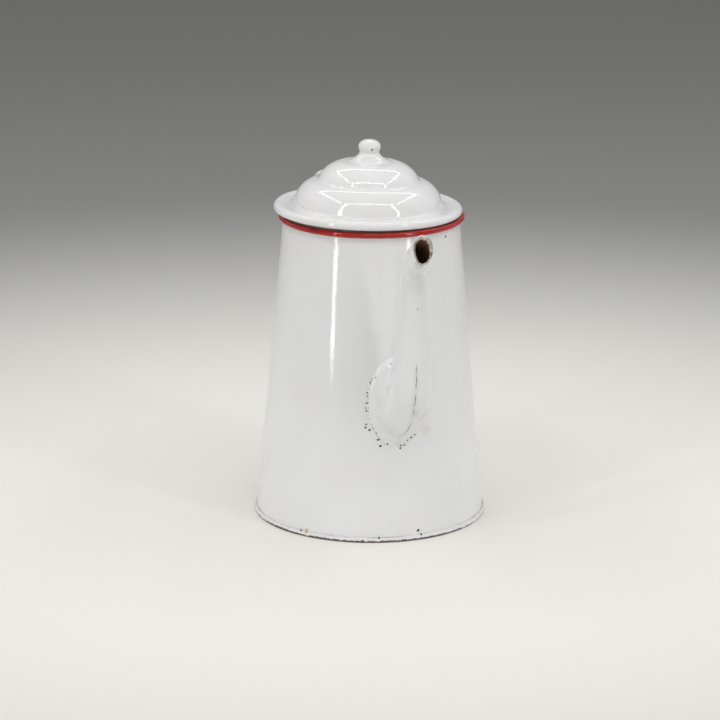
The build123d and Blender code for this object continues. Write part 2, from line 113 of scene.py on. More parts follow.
class PotSpoutSizes(bpy.types.PropertyGroup):
    """Swan-neck spout and the flange that holds it."""

    foot_height: length("Foot height", "Middle of the spout's foot on the wall", 90.5)
    foot_half_width: length("Foot half width", "Half the tube's width where it leaves the wall", 14.6)
    foot_half_height: length("Foot half height", "Half the tube's height where it leaves the wall", 24.6)
    foot_run: length("Foot run", "From the wall to the start of the elbow", 6.4)
    elbow_radius: length("Elbow radius", "Bend from the foot into the riser", 25.5)
    low_half_width: length("Riser half width, low", "Half the riser's width above the elbow", 12.5)
    low_half_depth: length("Riser half depth, low", "Half the riser's depth above the elbow", 10.6)
    top_half_width: length("Riser half width, top", "Half the riser's width below the upper bend", 7.3)
    top_half_depth: length("Riser half depth, top", "Half the riser's depth below the upper bend", 9.6)
    mouth_half_width: length("Mouth half width", "Half the mouth's width", 6.0)
    mouth_half_depth: length("Mouth half depth", "Half the mouth's depth, square to the tip", 7.4)
    bend_radius: length("Upper bend radius", "Bend from the riser to the mouth", 14.0)
    bend_below_rim: length("Upper bend", "Corner of the upper bend below the rim wire", 9.5)
    tip_reach: length("Tip reach", "From the riser's middle to the mouth", 25.0)
    tip_angle: slope("Tip angle", "Rise of the tip above level", 32.2)
    tip_lean: length("Tip lean", "How far the tip leans to the -X side", 0.7)
    tip_pinch: length("Tip pinch", "How far the -X side is pressed in before the mouth", 1.7)
    sheet: length("Spout sheet", "Thickness of the pressed halves", 1.1)
    heel: length("Heel", "How much lower the tube's foot bulges on its underside", 2.6)
    flange_width: length("Flange width", "Flange beyond the tube at the sides", 3.9)
    flange_margin: length("Flange margin", "Flange beyond the tube above and below", 4.4)
    flange_drop: length("Flange drop", "Middle of the flange below the tube's", 2.2)
    flange_sheet: length("Flange sheet", "Flange above the wall", 0.8)
    flange_cut: length("Flange cut", "How much shorter the flange is at its lower +X end", 2.0)
    lip_wear: length("Lip wear", "How far the lip is worn back on one side", 2.2)
    lip_enamel: length("Lip enamel", "How far the enamel has pooled inside the lip", 2.6)
    lip_rise: length("Lip rise", "How far enamel stands up on the top of the lip", 1.1)


class PotHandleSizes(bpy.types.PropertyGroup):
    """Rolled strap handle, its tabs and its rivets."""

    root_drop: length("Root", "Root of the strap below the rim wire", 13.2)
    rise_reach: length("Rise reach", "Bend above the root, out from the wall", 15.9)
    rise_height: length("Rise height", "That bend above the rim wire", 2.2)
    rise_radius: length("Rise radius", "Radius of that bend", 24.0)
    crown_reach: length("Crown reach", "Outer corner of the grip, out from the wall", 62.7)
    crown_height: length("Crown height", "That corner above the rim wire", 8.6)
    crown_radius: length("Crown radius", "Radius of that corner", 16.0)
    grip_reach: length("Grip reach", "Lower bend of the grip, out from the wall", 56.0)
    grip_height: length("Grip height", "That bend above the table", 106.0)
    grip_radius: length("Grip radius", "Radius of that bend", 60.0)
    end_height: length("End height", "Lower end of the strap on the wall", 67.0)
    sunk: length("Sunk ends", "How far the strap's ends reach into the wall", 0.4)
    half_width: length("Strap half width", "Half the strap's width", 10.0)
    half_thickness: length("Strap half thickness", "Half the strap's thickness", 3.8)
    sheet: length("Strap sheet", "Thickness of the rolled sheet", 1.1)
    slit: length("Strap slit", "Gap between the strap's two edges, towards the pot", 6.0)
    tab_length: length("Tab length", "Height of the tabs on the wall", 26.0)
    tab_half_width: length("Tab half width", "Half the width of the tabs", 9.0)
    tab_corner: length("Tab corner", "Radius of the tabs' corners", 8.5)
    tab_sheet: length("Tab sheet", "Thickness of the tabs and of the hinge bracket", 1.2)
    tab_end: length("Tab end", "From the outer rivet to the tab's end", 9.0)
    tab_edge: length("Tab edge", "Rounding of the tabs' edges", 0.35)
    rivet_head: length("Rivet head", "Radius of the rivet heads", 3.0)
    rivet_height: length("Rivet height", "Height of the rivet heads", 1.4)
    rivet_pitch: length("Rivet pitch", "From rivet to rivet", 10.0)


class PotLidSizes(bpy.types.PropertyGroup):
    """Stepped lid with its rolled brim, collar, knob and rivets."""

    shift_side: length("Side play", "How far the lid rests to one side in its hinge", -2.3)
    shift_back: length("Back play", "How far the lid rests to the back", 0.1)
    lean: slope("Lean", "How far the lid leans down on the +X side", 1.1)
    brim_radius: length("Brim radius", "Outside of the rolled brim", 60.0)
    curl_radius: length("Brim curl", "Radius of the rolled brim", 2.8)
    curl_height: length("Brim height", "Middle of the rolled brim above the table", 199.049)
    brim_width: length("Brim width", "From the outer edge to the foot of the dome", 13.0)
    brim_dish: length("Brim dish", "How far the brim sinks between curl and dome", 0.6)
    dish_reach: length("Dish reach", "From the foot of the dome out to the lowest place", 3.1)
    lower_height: length("Lower dome", "Height of the lower dome above the brim", 15.2)
    lower_bulge: length("Lower bulge", "How far the lower dome stands out from its chord", 4.0)
    step_radius: length("Step radius", "Radius of the step between the two domes", 32.3)
    upper_height: length("Upper dome", "Height of the upper dome above the step", 11.4)
    upper_bulge: length("Upper bulge", "How far the upper dome stands out from its chord", 3.9)
    crown_radius: length("Crown radius", "Edge of the flat crown", 12.5)
    crown_height: length("Crown height", "Rise of the crown to its middle", 0.2)
    sheet: length("Lid sheet", "Steel with its enamel on both faces", 1.1)
    collar_radius: length("Collar radius", "Ring that drops into the mouth", 51.8)
    collar_depth: length("Collar depth", "Height of that ring", 12.0)
    collar_sheet: length("Collar sheet", "Thickness of that ring", 1.0)
    collar_flange: length("Collar flange", "How far that ring is turned in under the brim", 4.2)
    knob_foot: length("Knob foot", "Radius of the knob's foot", 11.8)
    knob_neck: length("Knob neck", "Radius of the knob's throat", 6.1)
    knob_head: length("Knob head", "Radius of the knob's head", 7.2)
    vent_radius: length("Vent", "Radius of the vent hole in the knob", 0.7)
    vent_height: length("Vent height", "Middle of the vent hole above the crown", 8.6)
    rivet_head: length("Leaf rivet", "Radius of the rivet heads on the hinge leaf", 1.7)
    rivet_height: length("Leaf rivet height", "Height of those heads", 1.0)


class PotLook(bpy.types.PropertyGroup):
    """Enamel, rust and bare steel."""

    white: colour("White enamel", "Body colour of the enamel", (0.80, 0.802, 0.81))
    white_aged: colour("Aged white", "Enamel where it has yellowed", (0.74, 0.725, 0.68))
    red: colour("Red enamel", "Rolled rim", (0.385, 0.011, 0.008))
    ground_coat: colour("Ground coat", "What shows where the enamel has chipped", (0.028, 0.024, 0.022))
    rust: colour("Rust", "Bare steel inside the spout", (0.34, 0.215, 0.13))
    steel: colour("Bare steel", "Hinge pin, lid rivets and rim wire", (0.34, 0.32, 0.30))
    worn_lip: colour("Worn lip", "Thin, stained enamel round the spout's mouth", (0.40, 0.335, 0.275))
    seed: bpy.props.IntProperty(name="Seed", description="Raggedness of the chips", default=11, min=0)


def sizes():
    """The sizes of body, spout, lid and handle, as set in the scene."""
    scene = bpy.context.scene
    return scene.pot_body, scene.pot_spout, scene.pot_lid, scene.pot_handle


# How finely the turned pieces are divided round their axis.
SEGMENTS = {"wall": 288, "rim": 320, "wire": 160, "foot": 360, "lid": 320, "collar": 240, "knob": 128}
# A radius below this is on the axis, and a gap below this has no length.
ON_AXIS = 0.001 * MM
NO_LENGTH = 1e-12


# Lines and meshes


def between(a, b, share):
    """The point a share of the way from a to b."""
    return tuple(p + (q - p) * share for p, q in zip(a, b))


def walked(points):
    """The distance walked along the points, at each of them."""
    reach = [0.0]
    for a, b in zip(points, points[1:]):
        reach.append(reach[-1] + math.dist(a, b))
    return reach


def resampled(points, count):
    """The line in count even steps, both ends included."""
    reach = walked(points)
    even = []
    k = 0
    for i in range(count + 1):
        place = reach[-1] * i / count
        while k < len(points) - 2 and reach[k + 1] < place:
            k += 1
        share = (place - reach[k]) / max(reach[k + 1] - reach[k], NO_LENGTH)
        even.append(between(points[k], points[k + 1], share))
    return even


def softened(outline, spacing, width, closed):
    """The outline at even spacing, its corners rounded as enamel rounds them; open ends stay in place."""
    points = list(outline) + ([outline[0]] if closed else [])
    total = walked(points)[-1]
    count = max(8, round(total / spacing))
    even = resampled(points, count)
    if closed:
        even.pop()
    step = total / count
    half = int(2.5 * width / step) + 1
    weights = [math.exp(-0.5 * (o * step / width) ** 2) for o in range(-half, half + 1)]
    result = []
    for i in range(len(even)):
        span = half if closed else min(half, i, len(even) - 1 - i)
        near = [even[(i + o) % len(even)] for o in range(-span, span + 1)]
        share = weights[half - span : half + span + 1]
        result.append(tuple(sum(p * w for p, w in zip(axis, share)) / sum(share) for axis in zip(*near)))
    return result


def ring_angle(i, count):
    """Angle of one of count even places round a ring."""
    return 2 * math.pi * i / count


def arc(centre, radius, start, end, steps):
    """Points on an arc in degrees, both ends included."""
    points = []
    for i in range(steps + 1):
        angle = math.radians(start + (end - start) * i / steps)
        points.append((centre[0] + radius * math.cos(angle), centre[1] + radius * math.sin(angle)))
    return points


def bulged(start, end, bulge, steps):
    """Points on the arc that stands out from the chord by the bulge, to the chord's left."""
    a, b = Vector(start), Vector(end)
    chord = b - a
    across = Vector((-chord.y, chord.x)).normalized()
    radius = (chord.length ** 2 / 4 + bulge ** 2) / (2 * bulge)
    centre = (a + b) / 2 + across * (bulge - radius)
    half = math.asin(min(1.0, chord.length / 2 / radius))
    out = []
    for i in range(steps + 1):
        t = half - 2 * half * i / steps
        direction = across * math.cos(t) - chord.normalized() * math.sin(t)
        out.append(tuple(centre + direction * radius))
    return out


def offset_inward(points, amount):
    """The line moved to its inner side by the sheet."""
    out = []
    for i, point in enumerate(points):
        a = Vector(points[max(i - 1, 0)])
        b = Vector(points[min(i + 1, len(points) - 1)])
        along = (b - a).normalized()
        out.append((max(0.0, point[0] + along.y * amount), point[1] - along.x * amount))
    return out


def rounded_line(corners, step):
    """Points along a line whose corners are arcs of their own radius."""
    points = [Vector(corners[0][:2])]
    for before, corner, after in zip(corners, corners[1:], corners[2:]):
        a, b, c = Vector(before[:2]), Vector(corner[:2]), Vector(after[:2])
        into, out = (b - a).normalized(), (c - b).normalized()
        turn = into.angle_signed(out)
        start = b - into * corner[2] * math.tan(abs(turn) / 2)
        centre = start + Vector((into.y, -into.x)) * (corner[2] if turn > 0 else -corner[2])
        count = max(4, round(corner[2] * abs(turn) / step))
        for i in range(count + 1):
            points.append(centre + Matrix.Rotation(-turn * i / count, 2) @ (start - centre))
    points.append(Vector(corners[-1][:2]))
    return points


def new_object(name, mesh):
    """An object at the origin that shows the mesh."""
    piece = bpy.data.objects.new(name, mesh)
    bpy.context.scene.collection.objects.link(piece)
    return piece


def point_object(name, points, edges=()):
    """An object of bare points, with edges between some of them."""
    mesh = bpy.data.meshes.new(name)
    mesh.from_pydata([tuple(p) for p in points], list(edges), [])
    return new_object(name, mesh)


def ring_rows(name, rows, closed_rows=True, bands=None):
    """A skin over rows of points, where a row of one point is a pole; bands gives each gap its material."""
    mesh = bpy.data.meshes.new(name)
    made = bmesh.new()
    verts = [[made.verts.new(point) for point in row] for row in rows]
    pairs = list(zip(verts, verts[1:]))
    if closed_rows:
        pairs.append((verts[-1], verts[0]))
    for k, (low, high) in enumerate(pairs):
        count = max(len(low), len(high))
        for i in range(count):
            j = (i + 1) % count
            corners = [low[i % len(low)], low[j % len(low)], high[j % len(high)], high[i % len(high)]]
            corners = [v for n, v in enumerate(corners) if v not in corners[:n]]
            if len(corners) > 2:
                made.faces.new(corners).material_index = bands[k] if bands else 0
    bmesh.ops.remove_doubles(made, verts=made.verts, dist=1e-7)
    bmesh.ops.recalc_face_normals(made, faces=made.faces)
    made.to_mesh(mesh)
    made.free()
    smooth(mesh)
    return new_object(name, mesh)


def turned(name, outline, segments, closed=True, ripple=None):
    """A turned skin from an outline of (radius, height)."""
    rows = []
    for radius, height in outline:
        if radius < ON_AXIS:
            rows.append([(0.0, 0.0, height)])
            continue
        row = []
        for i in range(segments):
            angle = ring_angle(i, segments)
            r, z = ripple(radius, height, angle) if ripple else (radius, height)
            row.append((r * math.cos(angle), r * math.sin(angle), z))
        rows.append(row)
    return ring_rows(name, rows, closed_rows=closed)


def smooth(mesh, keep_above=None):
    """Smooth shading, with edges sharper than keep_above degrees kept."""
    mesh.polygons.foreach_set("use_smooth", [True] * len(mesh.polygons))
    if keep_above:
        mesh.set_sharp_from_angle(angle=math.radians(keep_above))


def plain_mesh(piece):
    """The piece's mesh with its modifiers applied."""
    depsgraph = bpy.context.evaluated_depsgraph_get()
    return bpy.data.meshes.new_from_object(piece.evaluated_get(depsgraph), depsgraph=depsgraph)


def cut_away(piece, cutter):
    """A plain object of the piece with the cutter taken out of it; both old objects go."""
    cut = piece.modifiers.new("Cut", "BOOLEAN")
    cut.operation = "DIFFERENCE"
    cut.solver = "EXACT"
    cut.object = cutter
    mesh = plain_mesh(piece)
    name, before = piece.name, len(piece.data.polygons)
    for item in (piece, cutter):
        bpy.data.objects.remove(item)
    if len(mesh.polygons) < before:
        raise RuntimeError(name + " was lost when its holes were cut")
    smooth(mesh, keep_above=35)
    return new_object(name, mesh)


def finish_piece(piece, material, body, *nodes, slot):
    """Gives a piece its material or materials and its body, and hides the CAD nodes that it stands for; the
    slot is not used.
    """
    finishes = material if isinstance(material, list) else [material]
    if len(finishes) == 1:
        piece.data.materials.clear()
    for finish in finishes:
        piece.data.materials.append(finish)
    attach(piece, body)
    if nodes:
        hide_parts(*nodes)


def seated(piece):
    """Moves a piece of the lid, modelled round the pot's axis, to where the lid rests."""
    lid = sizes()[2]
    rest = Matrix.Translation((lid.shift_side, lid.shift_back, lid.curl_height))
    rest = rest @ Matrix.Rotation(lid.lean, 4, "Y")
    piece.data.transform(rest @ Matrix.Translation((0.0, 0.0, -lid.curl_height)))
    return piece


# Node trees


class Tree:
    """A small hand for building node trees."""

    def __init__(self, tree):
        self.tree = tree

    def add(self, kind, *inputs, **settings):
        """A node with its settings; inputs are pairs of socket and value, field or output."""
        node = self.tree.nodes.new(kind)
        for key, value in settings.items():
            setattr(node, key, value)
        for socket, value in inputs:
            self.feed(node.inputs[socket], value)
        return node

    def feed(self, socket, value):
        """Sets a socket, or links it to a field or an output."""
        if isinstance(value, Field):
            value = value.socket
        if isinstance(value, bpy.types.NodeSocket):
            self.tree.links.new(value, socket)
        else:
            socket.default_value = value


class Field:
    """A value or a colour that varies over a surface, and can be added to, multiplied and so on."""

    def __init__(self, hand, socket):
        self.hand = hand
        self.socket = socket

    def maths(self, operation, other=0.0):
        """Maths with another field or a number."""
        node = self.hand.add("ShaderNodeMath", (0, self), (1, other), operation=operation)
        return Field(self.hand, node.outputs[0])

    def vector(self, operation, other=(0.0, 0.0, 0.0)):
        """Vector maths with a point; distance, length and dot product give a number."""
        node = self.hand.add("ShaderNodeVectorMath", (0, self), (1, other), operation=operation)
        single = operation in ("DISTANCE", "LENGTH", "DOT_PRODUCT")
        return Field(self.hand, node.outputs["Value" if single else "Vector"])

    def parts(self):
        """The x, y and z of a vector."""
        node = self.hand.add("ShaderNodeSeparateXYZ", (0, self))
        return [Field(self.hand, node.outputs[axis]) for axis in "XYZ"]

    def __add__(self, other):
        return self.maths("ADD", other)

    def __sub__(self, other):
        return self.maths("SUBTRACT", other)

    def __mul__(self, other):
        return self.maths("MULTIPLY", other)

    def __abs__(self):
        return self.maths("ABSOLUTE")


def geometry_tree(name, *inputs):
    """A Geometry Nodes tree with named inputs, as its hand, its input sockets and its output node."""
    tree = bpy.data.node_groups.new(name, "GeometryNodeTree")
    tree.interface.new_socket("Geometry", in_out="INPUT", socket_type="NodeSocketGeometry")
    for label, kind, value in inputs:
        socket = tree.interface.new_socket(label, in_out="INPUT", socket_type="NodeSocket" + kind)
        if value is not None:
            socket.default_value = value
    tree.interface.new_socket("Geometry", in_out="OUTPUT", socket_type="NodeSocketGeometry")
    hand = Tree(tree)
    return hand, hand.add("NodeGroupInput").outputs, hand.add("NodeGroupOutput")


def closed_tree(hand, geometry, material, output):
    """Ends a tree in Realize Instances and Set Material."""
    real = hand.add("GeometryNodeRealizeInstances", ("Geometry", geometry))
    painted = hand.add("GeometryNodeSetMaterial", ("Geometry", real.outputs[0]), ("Material", material))
    hand.feed(output.inputs[0], painted.outputs[0])
    return hand.tree


def grown(name, base, tree, values):
    """Runs a tree on a base object and leaves a plain object in its place."""
    modifier = base.modifiers.new(tree.name, "NODES")
    modifier.node_group = tree
    for item in tree.interface.items_tree:
        if item.item_type == "SOCKET" and item.in_out == "INPUT" and item.name in values:
            modifier[item.identifier] = values[item.name]
    mesh = plain_mesh(base)
    base.modifiers.clear()
    bpy.data.objects.remove(base)
    smooth(mesh)
    return new_object(name, mesh)


# Materials. Lengths in the patterns are in millimetres where a name ends in _mm.


def shader(name):
    """A new material with its surface shader and the object coordinates as a field."""
    material = bpy.data.materials.new(name)
    material.use_nodes = True
    hand = Tree(material.node_tree)
    surface = material.node_tree.nodes["Principled BSDF"]
    return material, surface, Field(hand, hand.add("ShaderNodeTexCoord").outputs["Object"])


def cloud(place, size_mm, detail=2.0, rough=0.5, seed=0.0):
    """A noise value whose lumps are about this large."""
    node = place.hand.add(
        "ShaderNodeTexNoise",
        ("Vector", place),
        ("W", seed),
        ("Scale", 1.0 / (size_mm * MM)),
        ("Detail", detail),
        ("Roughness", rough),
        noise_dimensions="4D",
    )
    return Field(place.hand, node.outputs["Fac"])


def ramp(value, low, high, to_low=0.0, to_high=1.0):
    """The value mapped smoothly from low..high to to_low..to_high, clamped."""
    ends = (("From Min", low), ("From Max", high), ("To Min", to_low), ("To Max", to_high))
    node = value.hand.add("ShaderNodeMapRange", ("Value", value), *ends, interpolation_type="SMOOTHSTEP")
    return Field(value.hand, node.outputs["Result"])


def mixed(share, a, b):
    """Colour a where the share is 0 and colour b where it is 1."""
    tones = [tone if isinstance(tone, Field) else (*tone, 1.0) for tone in (a, b)]
    node = share.hand.add("ShaderNodeMix", data_type="RGBA")
    for socket, value in zip((0, 6, 7), (share, *tones)):
        share.hand.feed(node.inputs[socket], value)
    return Field(share.hand, node.outputs[2])


def spot(place, centre_mm, reach_mm):
    """1 inside a ragged round patch of this reach, fading to 0 outside."""
    reach = reach_mm * MM
    apart = place.vector("DISTANCE", tuple(c * MM for c in centre_mm))
    lump = (cloud(place, 3.0, 3.0) - 0.5) * reach
    return ramp(apart + lump, 0.35 * reach, reach, 1.0, 0.0)


def within(value, low_mm, high_mm, soft_mm):
    """1 where the value lies between the two, fading out over the soft edge."""
    up = ramp(value, (low_mm - soft_mm) * MM, low_mm * MM)
    return up * ramp(value, high_mm * MM, (high_mm + soft_mm) * MM, 1.0, 0.0)


def coat(surface, tone, rough, *bumps, **values):
    """Gives a surface its colour, gloss, plain values and stacked bumps of (height, distance in mm)."""
    hand = tone.hand
    hand.feed(surface.inputs["Base Color"], tone)
    hand.feed(surface.inputs["Roughness"], rough)
    for key, value in values.items():
        surface.inputs[key.replace("_", " ")].default_value = value
    below = []
    for height, distance_mm in bumps:
        stack = (("Height", height), ("Distance", distance_mm * MM), ("Strength", 1.0), *below)
        below = [("Normal", hand.add("ShaderNodeBump", *stack).outputs["Normal"])]
    if below:
        hand.feed(surface.inputs["Normal"], below[0][1])


def enamel(name, look, stains_and_shade=(), marks_and_shade=None, ripple=1.0):
    """White enamel: yellowing, soft grey clouds, specks, stained patches and markings, some of them painted
    shade, and the ripple of the dipped coat.
    """
    material, surface, place = shader(name)
    white = tuple(look.white)
    tone = mixed(ramp(cloud(place, 38, 3.0), 0.42, 0.78, 0.0, 0.35), white, tuple(look.white_aged))
    grey = tuple(c * 0.94 for c in white)
    tone = mixed(ramp(cloud(place, 16, 4.0, 0.55, 3.0), 0.5, 0.8, 0.0, 0.5), tone, grey)
    specks = ramp(cloud(place, 1.3, 2.0, 0.5, 7.0), 0.765, 0.79, 0.0, 0.6)
    tone = mixed(specks, tone, (0.42, 0.40, 0.38))
    for centre_mm, reach_mm, tint, strength in stains_and_shade:
        tone = mixed(spot(place, centre_mm, reach_mm) * strength, tone, tint)
    if marks_and_shade:
        tone = marks_and_shade(place, tone)
    rough = ramp(cloud(place, 9, 4.0, 0.6, 5.0), 0.35, 0.75, 0.02, 0.08)
    flowed = place.vector("MULTIPLY", (1.7, 1.7, 1.3))
    swell = (cloud(place, 26, 2.0, 0.5, 1.0), 0.22)
    wave = (cloud(flowed, 3.6, 2.0, 0.5, 2.0), 0.055 * ripple)
    grain = (cloud(place, 1.0, 2.0, 0.5, 4.0), 0.003)
    coat(surface, tone, rough, swell, wave, grain, IOR=1.53)
    return material


def red_enamel(look):
    """Red enamel: dark and light strokes of the brush, worn to a dull pink here and there."""
    material, surface, place = shader("red enamel")
    red = tuple(look.red)
    dark = tuple(c * 0.62 for c in red)
    tone = mixed(ramp(cloud(place, 9, 4.0), 0.45, 0.75), red, dark)
    worn = ramp(cloud(place, 2.4, 3.0, 0.5, 5.0), 0.70, 0.76, 0.0, 0.45)
    tone = mixed(worn, tone, (0.50, 0.09, 0.05))
    rough = ramp(cloud(place, 5, 4.0), 0.3, 0.7, 0.06, 0.18)
    coat(surface, tone, rough, (cloud(place, 3.0, 3.0), 0.05), (cloud(place, 0.8), 0.006), IOR=1.5)
    return material


def rough_metal(name, base, other, gloss, metal, lump_mm):
    """Bare, rusted or chipped steel."""
    material, surface, place = shader(name)
    tone = mixed(ramp(cloud(place, lump_mm, 5.0, 0.6), 0.35, 0.68), base, other)
    rough = ramp(cloud(place, lump_mm * 0.6, 4.0, 0.6, 2.0), 0.3, 0.7, gloss, min(1.0, gloss + 0.25))
    coat(surface, tone, rough, (cloud(place, lump_mm * 0.4, 4.0, 0.6), 0.05), Metallic=metal)
    return material


def lip_material(look):
    """Worn lip: thin beige enamel, brown where it has gone, cream where it has pooled."""
    material, surface, place = shader("worn lip")
    thin = ramp(cloud(place, 3.2, 4.0, 0.6, 3.0), 0.4, 0.62)
    tone = mixed(thin, tuple(look.worn_lip), (0.62, 0.58, 0.53))
    gone = ramp(cloud(place, 1.6, 4.0, 0.6, 8.0), 0.60, 0.66, 0.0, 0.8)
    tone = mixed(gone, tone, (0.20, 0.13, 0.07))
    tone = mixed(spot(place, (0.0, -122.0, 208.4), 2.6), tone, (0.80, 0.77, 0.71))
    tone = mixed(spot(place, (5.3, -122.0, 196.2), 1.9), tone, (0.13, 0.085, 0.045))
    rough = ramp(cloud(place, 2, 4.0), 0.3, 0.7, 0.2, 0.6)
    coat(surface, tone, rough, (cloud(place, 1.4, 4.0), 0.12))
    return material


def foot_marks(look):
    """Paints the foot seam's worn lower edge, most worn at the front, and the fine line along its top."""
    ground = tuple(look.ground_coat)
    seam = bpy.context.scene.pot_body.seam_height
    front = (-0.454, -0.891, 0.0)

    def paint(place, tone):
        height = place.parts()[2]
        worn = ramp(place.vector("DOT_PRODUCT", front), 5 * MM, 70 * MM, 0.4 * MM, 1.25 * MM)
        ragged = (cloud(place, 2.6, 4.0, 0.6, 9.0) - 0.5) * (3.4 * MM)
        bare = mixed(ramp(cloud(place, 4.0, 3.0, 0.5, 12.0), 0.42, 0.6), ground, (0.11, 0.06, 0.032))
        tone = mixed(ramp(height - worn - ragged, -0.1 * MM, 0.2 * MM, 0.94, 0.0), tone, bare)
        line = ramp(abs(height - (seam - 0.2 * MM)), 0.03 * MM, 0.3 * MM, 1.0, 0.0)
        gaps = ramp(cloud(place, 7.0, 4.0, 0.6, 4.0), 0.42, 0.62, 0.05, 0.62)
        return mixed(line * gaps, tone, (0.19, 0.18, 0.18))

    return paint


def spout_marks_and_shade(look):
    """Paints the ground coat that shows along the joint of the spout's halves and round its flange, and a grey
    band of painted shade along the joint over the foot.
    """
    ground = tuple(look.ground_coat)
    spout = bpy.context.scene.pot_spout
    middle = spout.foot_height - spout.flange_drop
    across = spout.foot_half_width + spout.flange_width
    tall = spout.foot_half_height + spout.flange_margin

    def paint(place, tone):
        x, y, z = place.parts()
        sway = (cloud(place, 5.0, 2.0, 0.5, 6.0) - 0.5) * (1.6 * MM)
        seam = ramp(abs(x + sway), 0.16 * MM, 0.42 * MM, 1.0, 0.0)
        seam *= ramp(y, -74 * MM, -72 * MM, 1.0, 0.0)
        seam *= ramp(cloud(place, 1.7, 3.0, 0.6, 11.0), 0.42, 0.52)
        low, mid, high = (within(z, *ends, 1.5) for ends in ((70.0, 84.0), (92.0, 105.0), (110.0, 123.0)))
        seam *= low.maths("MAXIMUM", mid).maths("MAXIMUM", high)
        tone = mixed(seam * 0.85, tone, ground)
        # Painted shade: a grey band along the joint over the spout's foot and elbow.
        shade = ramp(abs(x), 0.0, 2.6 * MM, 0.28, 0.0) * within(z, 66.0, 118.0, 8.0)
        tone = mixed(shade, tone, (0.50, 0.51, 0.54))
        apart = place.vector("SUBTRACT", (0.0, 0.0, middle)).vector("MULTIPLY", (1 / across, 0.0, 1 / tall))
        edge = ramp(abs(apart.vector("LENGTH") - 0.99), 0.004, 0.014, 1.0, 0.0)
        edge *= ramp(x + (z - middle) * 0.35, -10 * MM, -3 * MM, 1.0, 0.0)
        edge *= ramp(cloud(place, 1.9, 3.0, 0.6, 15.0), 0.47, 0.56)
        return mixed(edge, tone, (0.10, 0.09, 0.09))

    return paint


# Stains in the enamel, and patches of painted shade: middle and reach in millimetres, colour and strength.
WALL_STAINS = [
    ((18.5, -64.0, 69.1), 4.5, (0.70, 0.66, 0.55), 0.4),
    ((-54.2, -49.4, 3.6), 2.2, (0.55, 0.40, 0.14), 0.8),
    ((26.0, -57.9, 109.8), 1.2, (0.60, 0.59, 0.58), 0.5),
]
FOOT_STAINS = [((-54.2, -49.4, 3.2), 2.0, (0.50, 0.34, 0.10), 0.85)]
SPOUT_STAINS_AND_SHADE = [
    # Painted shadow under the tip below the lip, and painted shade on the front of the upper bend.
    ((-2.7, -118.1, 188.7), 5.0, (0.52, 0.52, 0.54), 0.6),
    ((0.7, -107.0, 174.0), 8.0, (0.66, 0.66, 0.68), 0.35),
    # A small dark mark and a yellowed stain.
    ((0.6, -107.1, 158.9), 0.9, (0.30, 0.28, 0.26), 0.7),
    ((9.4, -95.2, 88.5), 6.5, (0.66, 0.63, 0.53), 0.6),
    # Painted shade on the front of the spout's foot, beside the joint.
    ((2.0, -100.0, 92.0), 5.0, (0.55, 0.55, 0.57), 0.45),
]
LID_STAINS = [
    ((-47.0, -17.0, 206.0), 12.0, (0.80, 0.75, 0.66), 0.35),
    ((-47.7, -11.6, 203.8), 1.1, (0.66, 0.42, 0.18), 0.7),
    ((-10.0, -49.0, 204.0), 10.0, (0.80, 0.76, 0.71), 0.3),
]
# A brown stain over the whole collar, dark enough to stand in as painted shade in the gap under the brim.
COLLAR_STAIN_AND_SHADE = [((0.0, 0.0, 195.0), 150.0, (0.30, 0.26, 0.22), 0.65)]

MATERIALS = {}


def make_materials():
    """Every finish of the pot, made once."""
    look = bpy.context.scene.pot_look
    ground, rust, steel = tuple(look.ground_coat), tuple(look.rust), tuple(look.steel)
    MATERIALS.update(
        wall=enamel("white enamel wall", look, WALL_STAINS),
        foot=enamel("white enamel foot", look, FOOT_STAINS, foot_marks(look)),
        spout=enamel("white enamel spout", look, SPOUT_STAINS_AND_SHADE, spout_marks_and_shade(look), ripple=0.7),
        lid=enamel("white enamel lid", look, LID_STAINS, ripple=0.8),
        collar=enamel("stained collar", look, COLLAR_STAIN_AND_SHADE),
        handle=enamel("white enamel handle", look),
        red=red_enamel(look),
        chip=rough_metal("chipped enamel", ground, (0.06, 0.045, 0.04), 0.55, 0.0, 0.5),
        rust=rough_metal("rusted bore", rust, (0.20, 0.12, 0.07), 0.7, 0.0, 1.6),
        steel=rough_metal("bare steel", steel, (0.10, 0.07, 0.05), 0.35, 0.9, 2.2),
        lip=lip_material(look),
    )


# Wall, rim and foot

CLEARANCE = 0.05 * MM
PUNCH_LENGTH = 12 * MM
# The open arc of the rolled rim, in degrees.
ROLL = (200, -110)
# The bottom panel is flat inside this radius, and even inside the next.
PANEL_FLAT = 30 * MM
PANEL_EVEN = 60 * MM


def wall_radius(body, height):
    """Outside of the wall at a height."""
    return body.foot_radius - (body.foot_radius - body.rim_radius) * height / body.rim_height


def off_wall(body, point):
    """How far a point lies outside the wall, measured level."""
    return math.hypot(point.x, point.y) - wall_radius(body, point.z)


def on_wall(body, x, z, lift, side=-1):
    """The point lifted off the wall at this x and height; side is -1 for the spout's and 1 for the handle's."""
    radius = wall_radius(body, z) + lift
    return Vector((x, side * math.sqrt(max(radius * radius - x * x, 0.0)), z))


def wave(angle, along):
    """Unevenness of the enamel round a turned edge."""
    return noise.noise(Vector((math.cos(angle) * 9, math.sin(angle) * 9, along))) * 0.12 * MM


class POT_OT_wall(bpy.types.Operator):
    """Conical wall with the strainer holes behind the spout"""

    bl_idname = "pot.wall"
    bl_label = "Wall"

    def execute(self, context):
        body, spout, _, _ = sizes()
        low, flare = body.seam_sheet, body.rim_height - body.flare_height
        mouth = (body.rim_radius + 0.8 * body.flare, body.rim_height - 0.35 * body.bead_radius)
        outside = [(wall_radius(body, low), low), (wall_radius(body, flare), flare), mouth]
        inside = [(radius - body.sheet, height) for radius, height in reversed(outside)]
        outline = softened(outside + inside, spacing=1.2 * MM, width=0.3 * MM, closed=True)
        wall = cut_away(turned("pot_wall", outline, SEGMENTS["wall"]), strainer_punches(body, spout))
        finish_piece(wall, MATERIALS["wall"], POT, "body_shell", slot="white_enamel")
        return {"FINISHED"}


